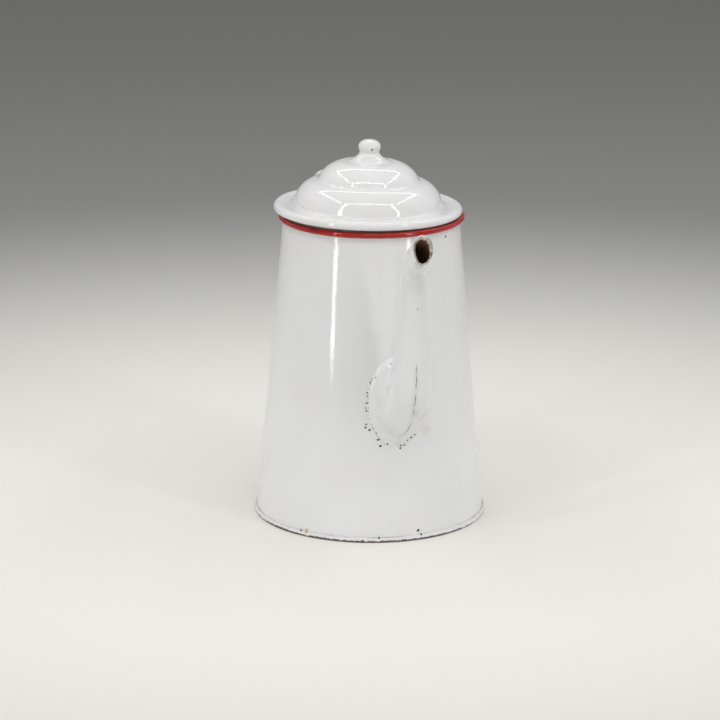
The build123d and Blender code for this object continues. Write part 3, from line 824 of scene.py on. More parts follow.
def strainer_punches(body, spout):
    """Geometry Nodes: a punch at each hole of a staggered pattern."""
    reach_x = spout.foot_half_width - body.hole_margin
    reach_z = spout.foot_half_height - body.hole_margin
    row_step = body.hole_pitch * math.sin(math.radians(60))
    rows, columns = int(reach_z / row_step), round(2 * reach_x / body.hole_pitch)
    places = []
    for row in range(-rows, rows + 1):
        offset = body.hole_pitch / 2 if row % 2 else 0.0
        for column in range(-columns, columns + 1):
            x, z = column * body.hole_pitch + offset, row * row_step
            if math.hypot(x / reach_x, z / reach_z) <= 1:
                height = spout.foot_height + z
                places.append((x, -wall_radius(body, height), height))
    hand, given, output = geometry_tree(
        "Strainer punches", ("Hole radius", "Float", 2 * MM), ("Punch length", "Float", PUNCH_LENGTH)
    )
    punch = hand.add(
        "GeometryNodeMeshCylinder",
        ("Vertices", 28),
        ("Radius", given["Hole radius"]),
        ("Depth", given["Punch length"]),
    )
    spread = hand.add(
        "GeometryNodeInstanceOnPoints",
        ("Points", given["Geometry"]),
        ("Instance", punch.outputs["Mesh"]),
        ("Rotation", (math.radians(90), 0.0, 0.0)),
    )
    tree = closed_tree(hand, spread.outputs[0], MATERIALS["wall"], output)
    values = {"Hole radius": body.hole_radius, "Punch length": PUNCH_LENGTH}
    return scattered("strainer_punches", places, tree, values)


def scattered(name, points, tree, values, **vectors):
    """Runs a tree on bare points, which may carry named vectors."""
    base = point_object(name + "_places", points)
    for label, column in vectors.items():
        layer = base.data.attributes.new(label, "FLOAT_VECTOR", "POINT")
        for item, vector in zip(layer.data, column):
            item.vector = vector
    return grown(name, base, tree, values)


class POT_OT_rim(bpy.types.Operator):
    """Rim rolled over its wire, painted red"""

    bl_idname = "pot.rim"
    bl_label = "Rolled rim"

    def execute(self, context):
        body = sizes()[0]
        centre = (body.rim_radius - body.sheet + body.flare + body.bead_radius, body.rim_height)
        inner = body.bead_radius - body.bead_sheet
        outline = arc(centre, body.bead_radius, *ROLL, 40) + arc(centre, inner, *reversed(ROLL), 28)

        def ripple(radius, height, angle):
            hump = wave(angle, height * 200)
            return radius + min(hump, 0.02 * MM), height + hump

        rim = turned("rim_bead", outline, SEGMENTS["rim"], ripple=ripple)
        finish_piece(rim, MATERIALS["red"], POT, "body_shell", slot="red_enamel")
        wire = turned("rim_wire_core", arc(centre, body.wire_radius, 0, 337.5, 15), SEGMENTS["wire"])
        finish_piece(wire, MATERIALS["steel"], POT, "rim_wire", slot="bare_steel")
        return {"FINISHED"}


class POT_OT_foot(bpy.types.Operator):
    """Bottom panel and the seam folded round the wall's lower end"""

    bl_idname = "pot.foot"
    bl_label = "Foot seam"

    def execute(self, context):
        body = sizes()[0]
        sheet, top, recess = body.seam_sheet, body.seam_height, body.base_recess
        leg = recess + sheet
        taper = (body.foot_radius - body.rim_radius) / body.rim_height
        outside = body.foot_radius + CLEARANCE + sheet
        inside = body.foot_radius - body.sheet - CLEARANCE - sheet
        gap = body.sheet + CLEARANCE
        band = [
            (inside, 0.0),
            (outside, 0.0),
            (outside - taper * top, top),
            (wall_radius(body, top) + 0.4 * CLEARANCE, top),
            (wall_radius(body, sheet) + CLEARANCE, sheet),
            (wall_radius(body, sheet) - gap, sheet),
            (wall_radius(body, leg) - gap, leg),
            (PANEL_FLAT, leg),
        ]
        under = [(PANEL_FLAT, recess), (inside - taper * recess, recess), (inside, 0.0)]
        upper = softened(band, spacing=0.4 * MM, width=0.22 * MM, closed=False)
        lower = softened(under, spacing=0.4 * MM, width=0.22 * MM, closed=False)
        outline = upper + [(0.0, leg), (0.0, recess)] + lower[:-1]

        def ripple(radius, height, angle):
            hump = min(wave(angle, height * 300), 0.0) if radius >= PANEL_EVEN else 0.0
            return radius + hump, height

        foot = turned("foot_seam", outline, SEGMENTS["foot"], ripple=ripple)
        finish_piece(foot, MATERIALS["foot"], POT, "base_plate", slot="white_enamel")
        return {"FINISHED"}


# Spout

# Points round the spout's oval, steps along it, and rows of the bore that the lip's enamel covers.
SPOUT_RING = 96
SPOUT_ROWS = 190
LIP_DEPTH = 6
# Spacing of the middle line, and how far it runs on past the mouth, whose plane cuts the tube.
LINE_STEP = 0.5 * MM
LINE_SPARE = 8 * MM
# The tip leans over this length; its pinch lies this far from the mouth, and is this wide.
TIP_LENGTH = 20 * MM
PINCH_PLACE, PINCH_WIDTH = 9 * MM, 6 * MM
LIP_RISE_WIDTH = 1.6 * MM
# How far from the wall the heel under the spout's foot reaches.
HEEL_REACH = 14 * MM
# The skin is eased this near the wall, below this height, this many times.
EASED_FROM, EASED_TO, EASED_BELOW = 0.5 * MM, 9 * MM, 130 * MM
EASE_PASSES = 6
# A long line leaves the wall for good once it has been outside for this many points.
OUT_FOR_GOOD = 60
# The flange from its edge to the tube: share of its width, and height in sheets.
FLANGE_PROFILE = [(1.1, -0.1), (1.06, 0.03), (1.0, 0.1), (0.95, 0.22), (0.88, 0.4)]
FLANGE_PROFILE += [(0.8, 0.58), (0.72, 0.75), (0.63, 0.92), (0.54, 1.12), (0.44, 1.36)]
FLANGE_PROFILE += [(0.34, 1.68), (0.24, 2.1), (0.15, 2.65), (0.08, 3.3)]
# Where round the flange it is cut short, and over how much, in degrees.
FLANGE_CUT = (285, 30)
# The lip's edge: share of its thickness, and how far it sinks in millimetres.
LIP_EDGE = [(0.1, -0.1), (0.3, -0.2), (0.6, -0.1), (0.85, 0.15), (1.0, 0.6)]


def fading(distance, width):
    """1 at no distance, fading to 0 on both sides."""
    return math.exp(-((distance / width) ** 2))


def riser_reach(body, spout):
    """Reach of the riser's middle line from the pot's axis."""
    return wall_radius(body, spout.foot_height) + spout.foot_run + spout.elbow_radius


def upper_bend(spout):
    """The upper bend's turn, and how much of the riser it takes up."""
    turn = math.radians(90) - spout.tip_angle
    return turn, spout.bend_radius * math.tan(turn / 2)


def spout_line(body, spout):
    """The spout's middle line in the plane of the pot, as (reach, height, heading)."""
    line = []

    def straight(start, end, heading):
        count = max(1, round(math.dist(start, end) / LINE_STEP))
        line.extend((*between(start, end, i / count), heading) for i in range(count))

    def bend(centre, radius, start, end):
        # The radius is negative where the line turns down.
        count = round(radius * (end - start) / LINE_STEP)
        for i in range(count):
            heading = start + (end - start) * i / count
            reach, height = centre[0] + radius * math.sin(heading), centre[1] - radius * math.cos(heading)
            line.append((reach, height, heading))

    riser = riser_reach(body, spout)
    upright, tip = math.radians(90), spout.tip_angle
    low = spout.foot_height
    elbow = (riser - spout.elbow_radius, low + spout.elbow_radius)
    crook = (riser + spout.bend_radius, body.rim_height - spout.bend_below_rim - upper_bend(spout)[1])
    straight((wall_radius(body, low) - spout.foot_run, low), (elbow[0], low), 0.0)
    bend(elbow, spout.elbow_radius, 0.0, upright)
    straight((riser, elbow[1]), (riser, crook[1]), upright)
    bend(crook, -spout.bend_radius, upright, tip)
    end = (crook[0] - spout.bend_radius * math.sin(tip), crook[1] + spout.bend_radius * math.cos(tip))
    run = riser + spout.tip_reach + LINE_SPARE - end[0]
    straight(end, (end[0] + run, end[1] + run * math.tan(tip)), tip)
    return line


def spout_section(body, spout, place):
    """Half width and half depth of the spout's oval at a distance along its middle line."""
    turn, trim = upper_bend(spout)
    elbow_end = 2 * spout.foot_run + spout.elbow_radius * math.pi / 2
    riser = body.rim_height - spout.bend_below_rim - trim - spout.foot_height - spout.elbow_radius
    riser_end = elbow_end + riser
    mouth = riser_end + spout.bend_radius * turn + spout.tip_reach
    foot = (spout.foot_half_width, spout.foot_half_height)
    low = (spout.low_half_width, spout.low_half_depth)
    top = (spout.top_half_width, spout.top_half_depth)
    if place < elbow_end:
        t = max(0.0, (place - spout.foot_run) / (elbow_end - spout.foot_run))
        return foot[0] + (low[0] - foot[0]) * t * t, low[1] + (foot[1] - low[1]) * (1 - t) ** 1.7
    if place < riser_end:
        t = (place - elbow_end) / riser
        return top[0] + (low[0] - top[0]) * (1 - t) ** 1.25, low[1] + (top[1] - low[1]) * t
    share = min(1.0, (place - riser_end) / (mouth - riser_end))
    return between(top, (spout.mouth_half_width, spout.mouth_half_depth), share)


def spout_tube(body, spout, inset):
    """Rows of the spout's skin from its foot on the wall to its mouth, drawn in by the inset."""
    mouth = riser_reach(body, spout) + spout.tip_reach
    line = spout_line(body, spout)
    columns = [[] for _ in range(SPOUT_RING)]
    for place, (reach, height, heading) in zip(walked([point[:2] for point in line]), line):
        width, depth = spout_section(body, spout, place)
        left = (mouth - reach) / math.cos(spout.tip_angle)
        near = min(1.0, max(0.0, 1 - left / TIP_LENGTH))
        pinch = spout.tip_pinch * fading(left - PINCH_PLACE, PINCH_WIDTH)
        rise = 0.0 if inset else spout.lip_rise * fading(left, LIP_RISE_WIDTH)
        for i, column in enumerate(columns):
            a = ring_angle(i, SPOUT_RING)
            across = (width - inset) * math.cos(a) - spout.tip_lean * near * near
            across += pinch * max(0.0, -math.cos(a))
            up = (depth - inset + rise * max(0.0, math.sin(a)) ** 3) * math.sin(a)
            column.append(Vector((across, up * math.sin(heading) - reach, height + up * math.cos(heading))))
    trimmed = []
    for i, column in enumerate(columns):
        path = trimmed_column(column, body, mouth - lip_setback(spout, i))
        path = [Vector(point) for point in resampled(path, SPOUT_ROWS)]
        under = max(0.0, -math.sin(ring_angle(i, SPOUT_RING))) ** 1.5
        for point in path:
            off = min(1.0, off_wall(body, point) / HEEL_REACH)
            point.z -= spout.heel * under * (1 - off) ** 2
        trimmed.append(path)
    return [list(row) for row in zip(*trimmed)]


def lip_setback(spout, i):
    """How far the lip is worn back at one place round it: most on the -X side, nicked all round."""
    a = ring_angle(i, SPOUT_RING)
    nick = abs(noise.noise(Vector((math.cos(a) * 2.6, math.sin(a) * 2.6, 4.0))))
    return 0.3 * MM + spout.lip_wear * (0.5 - 0.5 * math.cos(a)) + 0.9 * MM * nick


def lip_thickness(spout, i):
    """How far the enamel reaches in from the lip's edge: most at the top of the +X side."""
    a = ring_angle(i, SPOUT_RING)
    lump = noise.noise(Vector((math.cos(a) * 3.1, math.sin(a) * 3.1, 9.0)))
    pooled = max(0.0, math.cos(a - math.radians(50))) ** 0.8
    return 0.3 * MM + spout.lip_enamel * pooled * (1 + 0.3 * lump)


def trimmed_column(column, body, mouth):
    """The part of one long line of the skin that lies between the wall and the mouth's plane."""
    start = 0
    for k, point in enumerate(column):
        if off_wall(body, point) < 0:
            start = k
        elif k > start + OUT_FOR_GOOD:
            break
    a, b = column[start], column[start + 1]
    off_a, off_b = off_wall(body, a), off_wall(body, b)
    path = [a.lerp(b, off_a / (off_a - off_b))] + column[start + 1 :]
    for k, point in enumerate(path):
        if point.y < -mouth:
            a = path[k - 1]
            return path[:k] + [a.lerp(point, (-mouth - a.y) / (point.y - a.y))]
    raise RuntimeError("the spout doesn't reach its mouth")


def flange_oval(spout, share, short=0.0):
    """Half width, half height and middle height of the flange at a share of its width from the tube."""
    across = spout.foot_half_width + spout.flange_width * share - short
    tall = spout.foot_half_height + spout.flange_margin * share - short
    return across, tall, spout.foot_height - spout.flange_drop * share


def flange_rows(body, spout, foot):
    """Rows from the flange's edge on the wall, over the flange and up the fillet to the tube's foot."""
    rows = []
    for share, height in FLANGE_PROFILE:
        row = []
        for i in range(SPOUT_RING):
            a = ring_angle(i, SPOUT_RING)
            short = spout.flange_cut * fading(math.degrees(a) - FLANGE_CUT[0], FLANGE_CUT[1])
            across, tall, middle = flange_oval(spout, 1.0, short)
            edge = (across * math.cos(a), middle + tall * math.sin(a))
            x, z = between((foot[i].x, foot[i].z), edge, share)
            row.append(on_wall(body, x, z, height * spout.flange_sheet))
        rows.append(row)
    return rows


def flange_lift(spout, x, z):
    """Height of the flange over the wall at a point, found by how far out it lies from the tube."""
    low, high = -0.5, 2.0
    for _ in range(30):
        share = (low + high) / 2
        across, tall, middle = flange_oval(spout, share)
        inside = math.hypot(x / across, (z - middle) / tall) < 1
        low, high = (low, share) if inside else (share, high)
    for (s1, h1), (s2, h2) in zip(FLANGE_PROFILE, FLANGE_PROFILE[1:]):
        if s2 <= share <= s1:
            return spout.flange_sheet * (h1 + (h2 - h1) * (s1 - share) / (s1 - s2))
    return 0.0 if share > 1 else spout.flange_sheet * FLANGE_PROFILE[-1][1]


class POT_OT_spout(bpy.types.Operator):
    """Swan-neck spout with its flange on the wall and its worn mouth"""

    bl_idname = "pot.spout"
    bl_label = "Spout"

    def execute(self, context):
        body, spout, _, _ = sizes()
        skin = spout_tube(body, spout, 0.0)
        bore = spout_tube(body, spout, spout.sheet)[::-1]
        clear = 1.15 * FLANGE_PROFILE[-1][1] * spout.flange_sheet
        rows = flange_rows(body, spout, skin[0])
        rows += [row for row in skin[1:] if all(off_wall(body, point) > clear for point in row)]
        outside = len(rows)
        rows += lip_rows(spout, rows[-1], bore)
        lip_end = len(rows)
        rows += bore[LIP_DEPTH:]
        bands = [0] * (outside - 1) + [1] * (lip_end - outside) + [2] * (len(rows) - lip_end + 1)
        made = ring_rows("spout", rows, bands=bands)
        ease_foot(body, made.data)
        finishes = [MATERIALS["spout"], MATERIALS["lip"], MATERIALS["rust"]]
        finish_piece(made, finishes, POT, "spout_left_half", "spout_right_half", slot="white_enamel")
        return {"FINISHED"}


def ease_foot(body, mesh):
    """Smooths the skin where the flange's fillet runs into the tube."""
    made = bmesh.new()
    made.from_mesh(mesh)
    low = [v for v in made.verts if v.co.z < EASED_BELOW]
    near = [v for v in low if EASED_FROM < off_wall(body, v.co) < EASED_TO]
    for _ in range(EASE_PASSES):
        bmesh.ops.smooth_vert(made, verts=near, factor=0.5, use_axis_x=True, use_axis_y=True, use_axis_z=True)
    made.to_mesh(mesh)
    made.free()


def lip_rows(spout, edge, bore):
    """Rows over the lip and a little way down the bore, where enamel has pooled unevenly."""
    rows = []
    for share, sink_mm in LIP_EDGE:
        row = []
        for i, point in enumerate(edge):
            inward = (ring_middle(bore[0]) - point).normalized()
            row.append(point + inward * lip_thickness(spout, i) * share + Vector((0.0, sink_mm * MM, 0.0)))
        rows.append(row)
    for k in range(1, LIP_DEPTH):
        fade = (1 - k / LIP_DEPTH) ** 1.5
        middle = ring_middle(bore[k])
        row = []
        for i, point in enumerate(bore[k]):
            extra = max(0.0, lip_thickness(spout, i) - spout.sheet) * fade
            row.append(point + (middle - point).normalized() * extra)
        rows.append(row)
    return rows


def ring_middle(row):
    """Middle of a ring of points."""
    return sum(row, Vector()) / len(row)


# Handle, rivets and hinge


def handle_line(body, handle):
    """Corners of the handle's middle line as (reach, height, radius)."""
    root, end, rim = body.rim_height - handle.root_drop, handle.end_height, body.rim_radius
    return [
        (wall_radius(body, root) - handle.sunk, root, 0.0),
        (rim + handle.rise_reach, body.rim_height + handle.rise_height, handle.rise_radius),
        (rim + handle.crown_reach, body.rim_height + handle.crown_height, handle.crown_radius),
        (rim + handle.grip_reach, handle.grip_height, handle.grip_radius),
        (wall_radius(body, end) - handle.sunk, end, 0.0),
    ]


def rivet_heights(body, handle):
    """Heights of the upper two and the lower two handle rivets, highest first."""
    root = body.rim_height - handle.root_drop
    return [start - n * handle.rivet_pitch for start in (root, handle.end_height) for n in (1, 2)]


def strap_tree():
    """Geometry Nodes: a rolled strap swept along the handle's line."""
    hand, given, output = geometry_tree(
        "Rolled strap", ("Profile", "Object", None), ("Spacing", "Float", 1.0 * MM)
    )
    curve = hand.add("GeometryNodeMeshToCurve", ("Mesh", given["Geometry"]))
    even = hand.add(
        "GeometryNodeResampleCurve", ("Curve", curve.outputs[0]), ("Length", given["Spacing"]), mode="LENGTH"
    )
    upright = hand.add("GeometryNodeSetCurveNormal", ("Curve", even.outputs[0]), mode="MINIMUM_TWIST")
    section = hand.add("GeometryNodeObjectInfo", ("Object", given["Profile"]))
    outline = hand.add("GeometryNodeMeshToCurve", ("Mesh", section.outputs["Geometry"]))
    swept = hand.add(
        "GeometryNodeCurveToMesh",
        ("Curve", upright.outputs[0]),
        ("Profile Curve", outline.outputs[0]),
        ("Fill Caps", True),
    )
    return closed_tree(hand, swept.outputs[0], MATERIALS["handle"], output)


def strap_profile(handle):
    """Closed outline of the rolled strap: an oval of sheet, open along its inner side."""
    steps = 64
    gap = math.asin(handle.slit / 2 / handle.half_width)
    faces = []
    for inset in (0.0, handle.sheet):
        width, depth = handle.half_width - inset, handle.half_thickness - inset
        angles = [math.pi / 2 + gap + (2 * math.pi - 2 * gap) * i / steps for i in range(steps + 1)]
        faces.append([(width * math.cos(a), depth * math.sin(a)) for a in angles])
    return softened(faces[0] + faces[1][::-1], spacing=0.5 * MM, width=0.16 * MM, closed=True)


def pressed_on(mesh, body, handle):
    """Presses the strap's ends flat where they meet the wall or, at the top, the hinge bracket."""
    made = bmesh.new()
    made.from_mesh(mesh)
    for vert in made.verts:
        lift = handle.tab_sheet if vert.co.z > handle.grip_height else 0.1 * MM
        if off_wall(body, vert.co) < lift:
            vert.co = on_wall(body, vert.co.x, vert.co.z, lift, side=1)
    bmesh.ops.recalc_face_normals(made, faces=made.faces)
    made.to_mesh(mesh)
    made.free()
    smooth(mesh, keep_above=50)


def wall_patch(name, body, handle, low, seat):
    """A soft-edged plate of sheet that lies on the wall on the handle's side."""
    sheet, edge, corner = handle.tab_sheet, handle.tab_edge, handle.tab_corner
    middle = (0.0, low + handle.tab_length / 2)
    outline = []
    for side, up, start in ((1, 1, 0), (-1, 1, 90), (-1, -1, 180), (1, -1, 270)):
        z = middle[1] + up * (handle.tab_length / 2 - corner)
        outline += arc((side * (handle.tab_half_width - corner), z), corner, start, start + 90, 12)

    def ring(share, inset, lift):
        row = []
        for point in outline:
            inward = (Vector(middle) - Vector(point)).normalized() * inset
            x, z = between(point, middle, share)
            row.append(on_wall(body, x + inward.x, z + inward.y, seat + lift, side=1))
        return row

    rows = [ring(0.0, 0.0, 0.0), ring(0.0, 0.0, sheet - edge)]
    rows += [ring(0.0, 0.4 * edge, sheet - 0.35 * edge), ring(0.0, 1.2 * edge, sheet)]
    rows += [ring(k / 7, 0.0, sheet) for k in range(1, 7)]
    rows += [[on_wall(body, *middle, seat + lift, side=1)] for lift in (sheet, 0.0)]
    return ring_rows(name, rows)


class POT_OT_handle(bpy.types.Operator):
    """Rolled strap handle with its riveted tabs"""

    bl_idname = "pot.handle"
    bl_label = "Handle"

    def execute(self, context):
        body, _, _, handle = sizes()
        line = [(0.0, p.x, p.y) for p in rounded_line(handle_line(body, handle), 1.0 * MM)]
        base = point_object("handle_line", line, [(i, i + 1) for i in range(len(line) - 1)])
        outline = [(x, y, 0.0) for x, y in strap_profile(handle)]
        edges = [(i, (i + 1) % len(outline)) for i in range(len(outline))]
        profile = point_object("strap_profile", outline, edges)
        strap = grown("handle_strap", base, strap_tree(), {"Profile": profile, "Spacing": 0.8 * MM})
        bpy.data.objects.remove(profile)
        if len(strap.data.polygons) < 500:
            raise RuntimeError("the handle's strap wasn't swept")
        pressed_on(strap.data, body, handle)
        _, top, _, foot = rivet_heights(body, handle)
        top_tab = wall_patch("handle_tab_top", body, handle, top - handle.tab_end, handle.tab_sheet)
        foot_tab = wall_patch("handle_tab_foot", body, handle, foot - handle.tab_end, 0.0)
        for piece in (strap, top_tab, foot_tab):
            finish_piece(piece, MATERIALS["handle"], POT, "handle", slot="white_enamel")
        return {"FINISHED"}


def rivet_heads(name, places, group, tilt, material):
    """Geometry Nodes: a domed head on each place, of the group's sizes, all turned the same way."""
    hand, given, output = geometry_tree(
        "Rivet heads",
        ("Head radius", "Float", 3.0 * MM),
        ("Head height", "Float", 1.4 * MM),
        ("Tilt", "Vector", (0.0, 0.0, 0.0)),
    )
    ball = hand.add("GeometryNodeMeshUVSphere", ("Segments", 32), ("Rings", 20), ("Radius", 1.0))
    radius, height = given["Head radius"], given["Head height"]
    flat = hand.add("ShaderNodeCombineXYZ", ("X", radius), ("Y", radius), ("Z", height))
    spread = hand.add(
        "GeometryNodeInstanceOnPoints",
        ("Points", given["Geometry"]),
        ("Instance", ball.outputs["Mesh"]),
        ("Rotation", given["Tilt"]),
        ("Scale", flat.outputs[0]),
    )
    tree = closed_tree(hand, spread.outputs[0], material, output)
    values = {"Head radius": group.rivet_head, "Head height": group.rivet_height, "Tilt": (tilt, 0.0, 0.0)}
    return scattered(name, places, tree, values)


class POT_OT_rivets(bpy.types.Operator):
    """Rivet heads of the handle and of the lid's hinge leaf"""

    bl_idname = "pot.rivets"
    bl_label = "Rivets"

    def execute(self, context):
        body, _, lid, handle = sizes()
        # The upper two lie on the tab and the hinge bracket, the lower two on the tab alone.
        places = []
        for height, sheets in zip(rivet_heights(body, handle), (2, 2, 1, 1)):
            places.append((0.0, wall_radius(body, height) + sheets * handle.tab_sheet, height))
        tilt = math.atan((body.foot_radius - body.rim_radius) / body.rim_height) - math.radians(90)
        heads = rivet_heads("handle_rivet_heads", places, handle, tilt, MATERIALS["handle"])
        finish_piece(heads, MATERIALS["handle"], POT, "handle_rivets", slot="white_enamel")
        low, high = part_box("lid_rivets")
        y, z = (low.y + high.y) / 2, high.z - lid.rivet_height
        places = [(x, y, z) for x in (low.x + lid.rivet_head, high.x - lid.rivet_head)]
        heads = rivet_heads("lid_rivet_heads", places, lid, 0.0, MATERIALS["steel"])
        finish_piece(heads, MATERIALS["steel"], LID, "lid_rivets", slot="bare_steel")
        return {"FINISHED"}


def soft_copy(name, node):
    """A merged copy of a CAD node with its edges softened."""
    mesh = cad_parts[node].data.copy()
    mesh.name = name
    made = bmesh.new()
    made.from_mesh(mesh)
    bmesh.ops.remove_doubles(made, verts=made.verts, dist=0.02 * MM)
    bmesh.ops.dissolve_limit(made, angle_limit=math.radians(4), verts=made.verts, edges=made.edges)
    made.to_mesh(mesh)
    made.free()
    smooth(mesh, keep_above=40)
    piece = new_object(name, mesh)
    soft = piece.modifiers.new("Soft edges", "BEVEL")
    soft.width = 0.25 * MM
    soft.segments = 3
    soft.limit_method = "ANGLE"
    soft.angle_limit = math.radians(40)
    return piece


class POT_OT_hinge(bpy.types.Operator):
    """Hinge bracket, leaf and pin"""

    bl_idname = "pot.hinge"
    bl_label = "Hinge"

    def execute(self, context):
        for node, body, finish, slot in (
            ("hinge_bracket", POT, "handle", "white_enamel"),
            ("hinge_leaf", LID, "handle", "white_enamel"),
            ("hinge_pin", POT, "steel", "bare_steel"),
        ):
            finish_piece(soft_copy(node + "_soft", node), MATERIALS[finish], body, node, slot=slot)
        return {"FINISHED"}


# Lid

# The knob from its top down: which radius, the share of it, and the height above the crown in millimetres.
KNOB_PROFILE = [("head", 0.0, 14.2), ("head", 0.36, 14.0), ("head", 0.68, 13.1), ("head", 0.92, 11.6)]
KNOB_PROFILE += [("head", 1.0, 9.8), ("head", 0.95, 8.2), ("neck", 1.03, 7.0), ("neck", 1.0, 6.3)]
KNOB_PROFILE += [("neck", 1.05, 5.4), ("neck", 1.2, 4.1), ("foot", 0.76, 2.6), ("foot", 0.88, 1.55)]
KNOB_PROFILE += [("foot", 1.0, 0.8), ("foot", 1.1, 0.42), ("foot", 1.2, 0.2), ("foot", 1.24, 0.0)]


def lid_line(lid):
    """The lid's outer face from the crown out to the top of the curl."""
    brim = lid.curl_height + lid.curl_radius
    foot = (lid.brim_radius - lid.brim_width, brim)
    step = (lid.step_radius, brim + lid.lower_height)
    crown = (lid.crown_radius, step[1] + lid.upper_height)
    line = [(0.0, crown[1] + lid.crown_height), (0.5 * lid.crown_radius, crown[1] + 0.8 * lid.crown_height)]
    line += bulged(crown, step, lid.upper_bulge, 24)
    line += bulged(step, foot, lid.lower_bulge, 24)
    return line + [(foot[0] + lid.dish_reach, brim - lid.brim_dish)]


class POT_OT_lid(bpy.types.Operator):
    """Pressed lid with its two steps and rolled brim"""

    bl_idname = "pot.lid"
    bl_label = "Lid"

    def execute(self, context):
        lid = sizes()[2]
        centre, curl = (lid.brim_radius - lid.curl_radius, lid.curl_height), lid.curl_radius
        line = lid_line(lid)
        outside = line + arc(centre, curl, 90, -175, 60)
        outside = softened(outside, spacing=0.55 * MM, width=0.9 * MM, closed=False)
        hollow = arc(centre, curl - lid.sheet, -175, 88, 36)
        under = line + arc(centre, curl, 90, 60, 6)
        under = offset_inward(softened(under, spacing=0.8 * MM, width=0.9 * MM, closed=False), lid.sheet)
        inside = [point for point in reversed(under) if 0.5 * MM < point[0] < centre[0] - 0.6 * MM]
        outline = outside + hollow + inside + [(0.0, line[0][1] - lid.sheet)]

        def ripple(radius, height, angle):
            hump = noise.noise(Vector((radius * 40, math.cos(angle) * 1.4, math.sin(angle) * 1.4)))
            return radius, height + 0.25 * MM * hump * min(1.0, radius / (30 * MM))

        piece = seated(turned("lid_dome", outline, SEGMENTS["lid"], closed=False, ripple=ripple))
        finish_piece(piece, MATERIALS["lid"], LID, "lid_shell", slot="white_enamel")
        return {"FINISHED"}


class POT_OT_collar(bpy.types.Operator):
    """Ring under the lid that drops into the mouth"""

    bl_idname = "pot.collar"
    bl_label = "Lid collar"

    def execute(self, context):
        lid = sizes()[2]
        outer, sheet = lid.collar_radius, lid.collar_sheet
        top = lid.curl_height + lid.curl_radius - lid.sheet
        bottom, under = top - lid.collar_depth, top - lid.brim_dish
        inner = outer - lid.collar_flange
        outline = [
            (outer - sheet, bottom),
            (outer, bottom),
            (outer, top - 0.4 * MM),
            (inner, under - 0.1 * MM),
            (inner, under - sheet),
            (outer - sheet, under - sheet),
        ]
        outline = softened(outline, spacing=0.3 * MM, width=0.18 * MM, closed=True)
        piece = seated(turned("lid_collar_ring", outline, SEGMENTS["collar"]))
        finish_piece(piece, MATERIALS["collar"], LID, "lid_collar", slot="white_enamel")
        return {"FINISHED"}


class POT_OT_knob(bpy.types.Operator):
    """Knob on its flared foot, with the vent it was fired with"""

    bl_idname = "pot.knob"
    bl_label = "Knob"

    def execute(self, context):
        lid = sizes()[2]
        crown = lid_line(lid)[0][1]
        line = []
        for part, share, height_mm in KNOB_PROFILE:
            line.append((share * getattr(lid, "knob_" + part), crown + height_mm * MM))
        outline = softened(line, spacing=0.3 * MM, width=0.5 * MM, closed=False)
        outline += [(0.8 * lid.knob_foot, crown - 0.5 * MM), (0.0, crown - 0.4 * MM)]
        knob = turned("lid_knob_form", outline, SEGMENTS["knob"], closed=False)
        piece = seated(cut_away(knob, vent_drill(lid, crown)))
        finish_piece(piece, MATERIALS["lid"], LID, "lid_knob", slot="white_enamel")
        return {"FINISHED"}


def vent_drill(lid, crown):
    """A short rod across the front of the knob's head."""
    mesh = bpy.data.meshes.new("vent_drill")
    made = bmesh.new()
    place = Matrix.Translation((0.0, -lid.knob_head, crown + lid.vent_height))
    bmesh.ops.create_cone(
        made,
        cap_ends=True,
        segments=20,
        radius1=lid.vent_radius,
        radius2=lid.vent_radius,
        depth=5 * MM,
        matrix=place @ Matrix.Rotation(math.radians(90), 4, "X"),
    )
    made.to_mesh(mesh)
    made.free()
    return new_object("vent_drill", mesh)


# Chips

# Flakes are this much wider than the radii below, and this is half their thickness in millimetres.
FLAKE_SPREAD = 1.6
FLAKE_THICKNESS = 0.14
# Round the flange: degrees from +X, millimetres outside its edge, radius in millimetres.
FLANGE_CHIPS = [
    (106.7, -2.4, 0.32), (142.3, -1.5, 0.3), (152.6, 0.0, 0.42), (166.4, 0.7, 0.34), (170.6, 0.4, 0.3),
    (179.2, 0.5, 0.36), (185.1, 1.3, 0.3), (188.6, 1.1, 0.36), (204.0, 3.0, 0.36), (207.1, 4.0, 0.44),
    (212.0, 2.3, 0.46), (220.9, -0.65, 0.3), (229.6, 0.9, 0.46), (238.0, 2.6, 0.52), (246.5, -1.3, 0.4),
    (263.3, -3.9, 0.34), (268.2, -4.6, 0.34), (276.0, -2.0, 0.34), (274.3, -0.2, 0.4), (283.7, -1.3, 0.36),
    (292.5, -3.2, 0.3), (301.8, -2.8, 0.42), (310.4, -1.5, 0.32),
]  # fmt: skip
# Elsewhere on the wall and the foot seam: x, height and radius in millimetres, all on the spout's side.
WALL_CHIPS = [(36.2, 187.7, 0.5), (12.6, 5.7, 0.62), (-57.2, 3.4, 0.5), (-13.2, 3.2, 0.45), (14.3, 3.4, 0.45)]


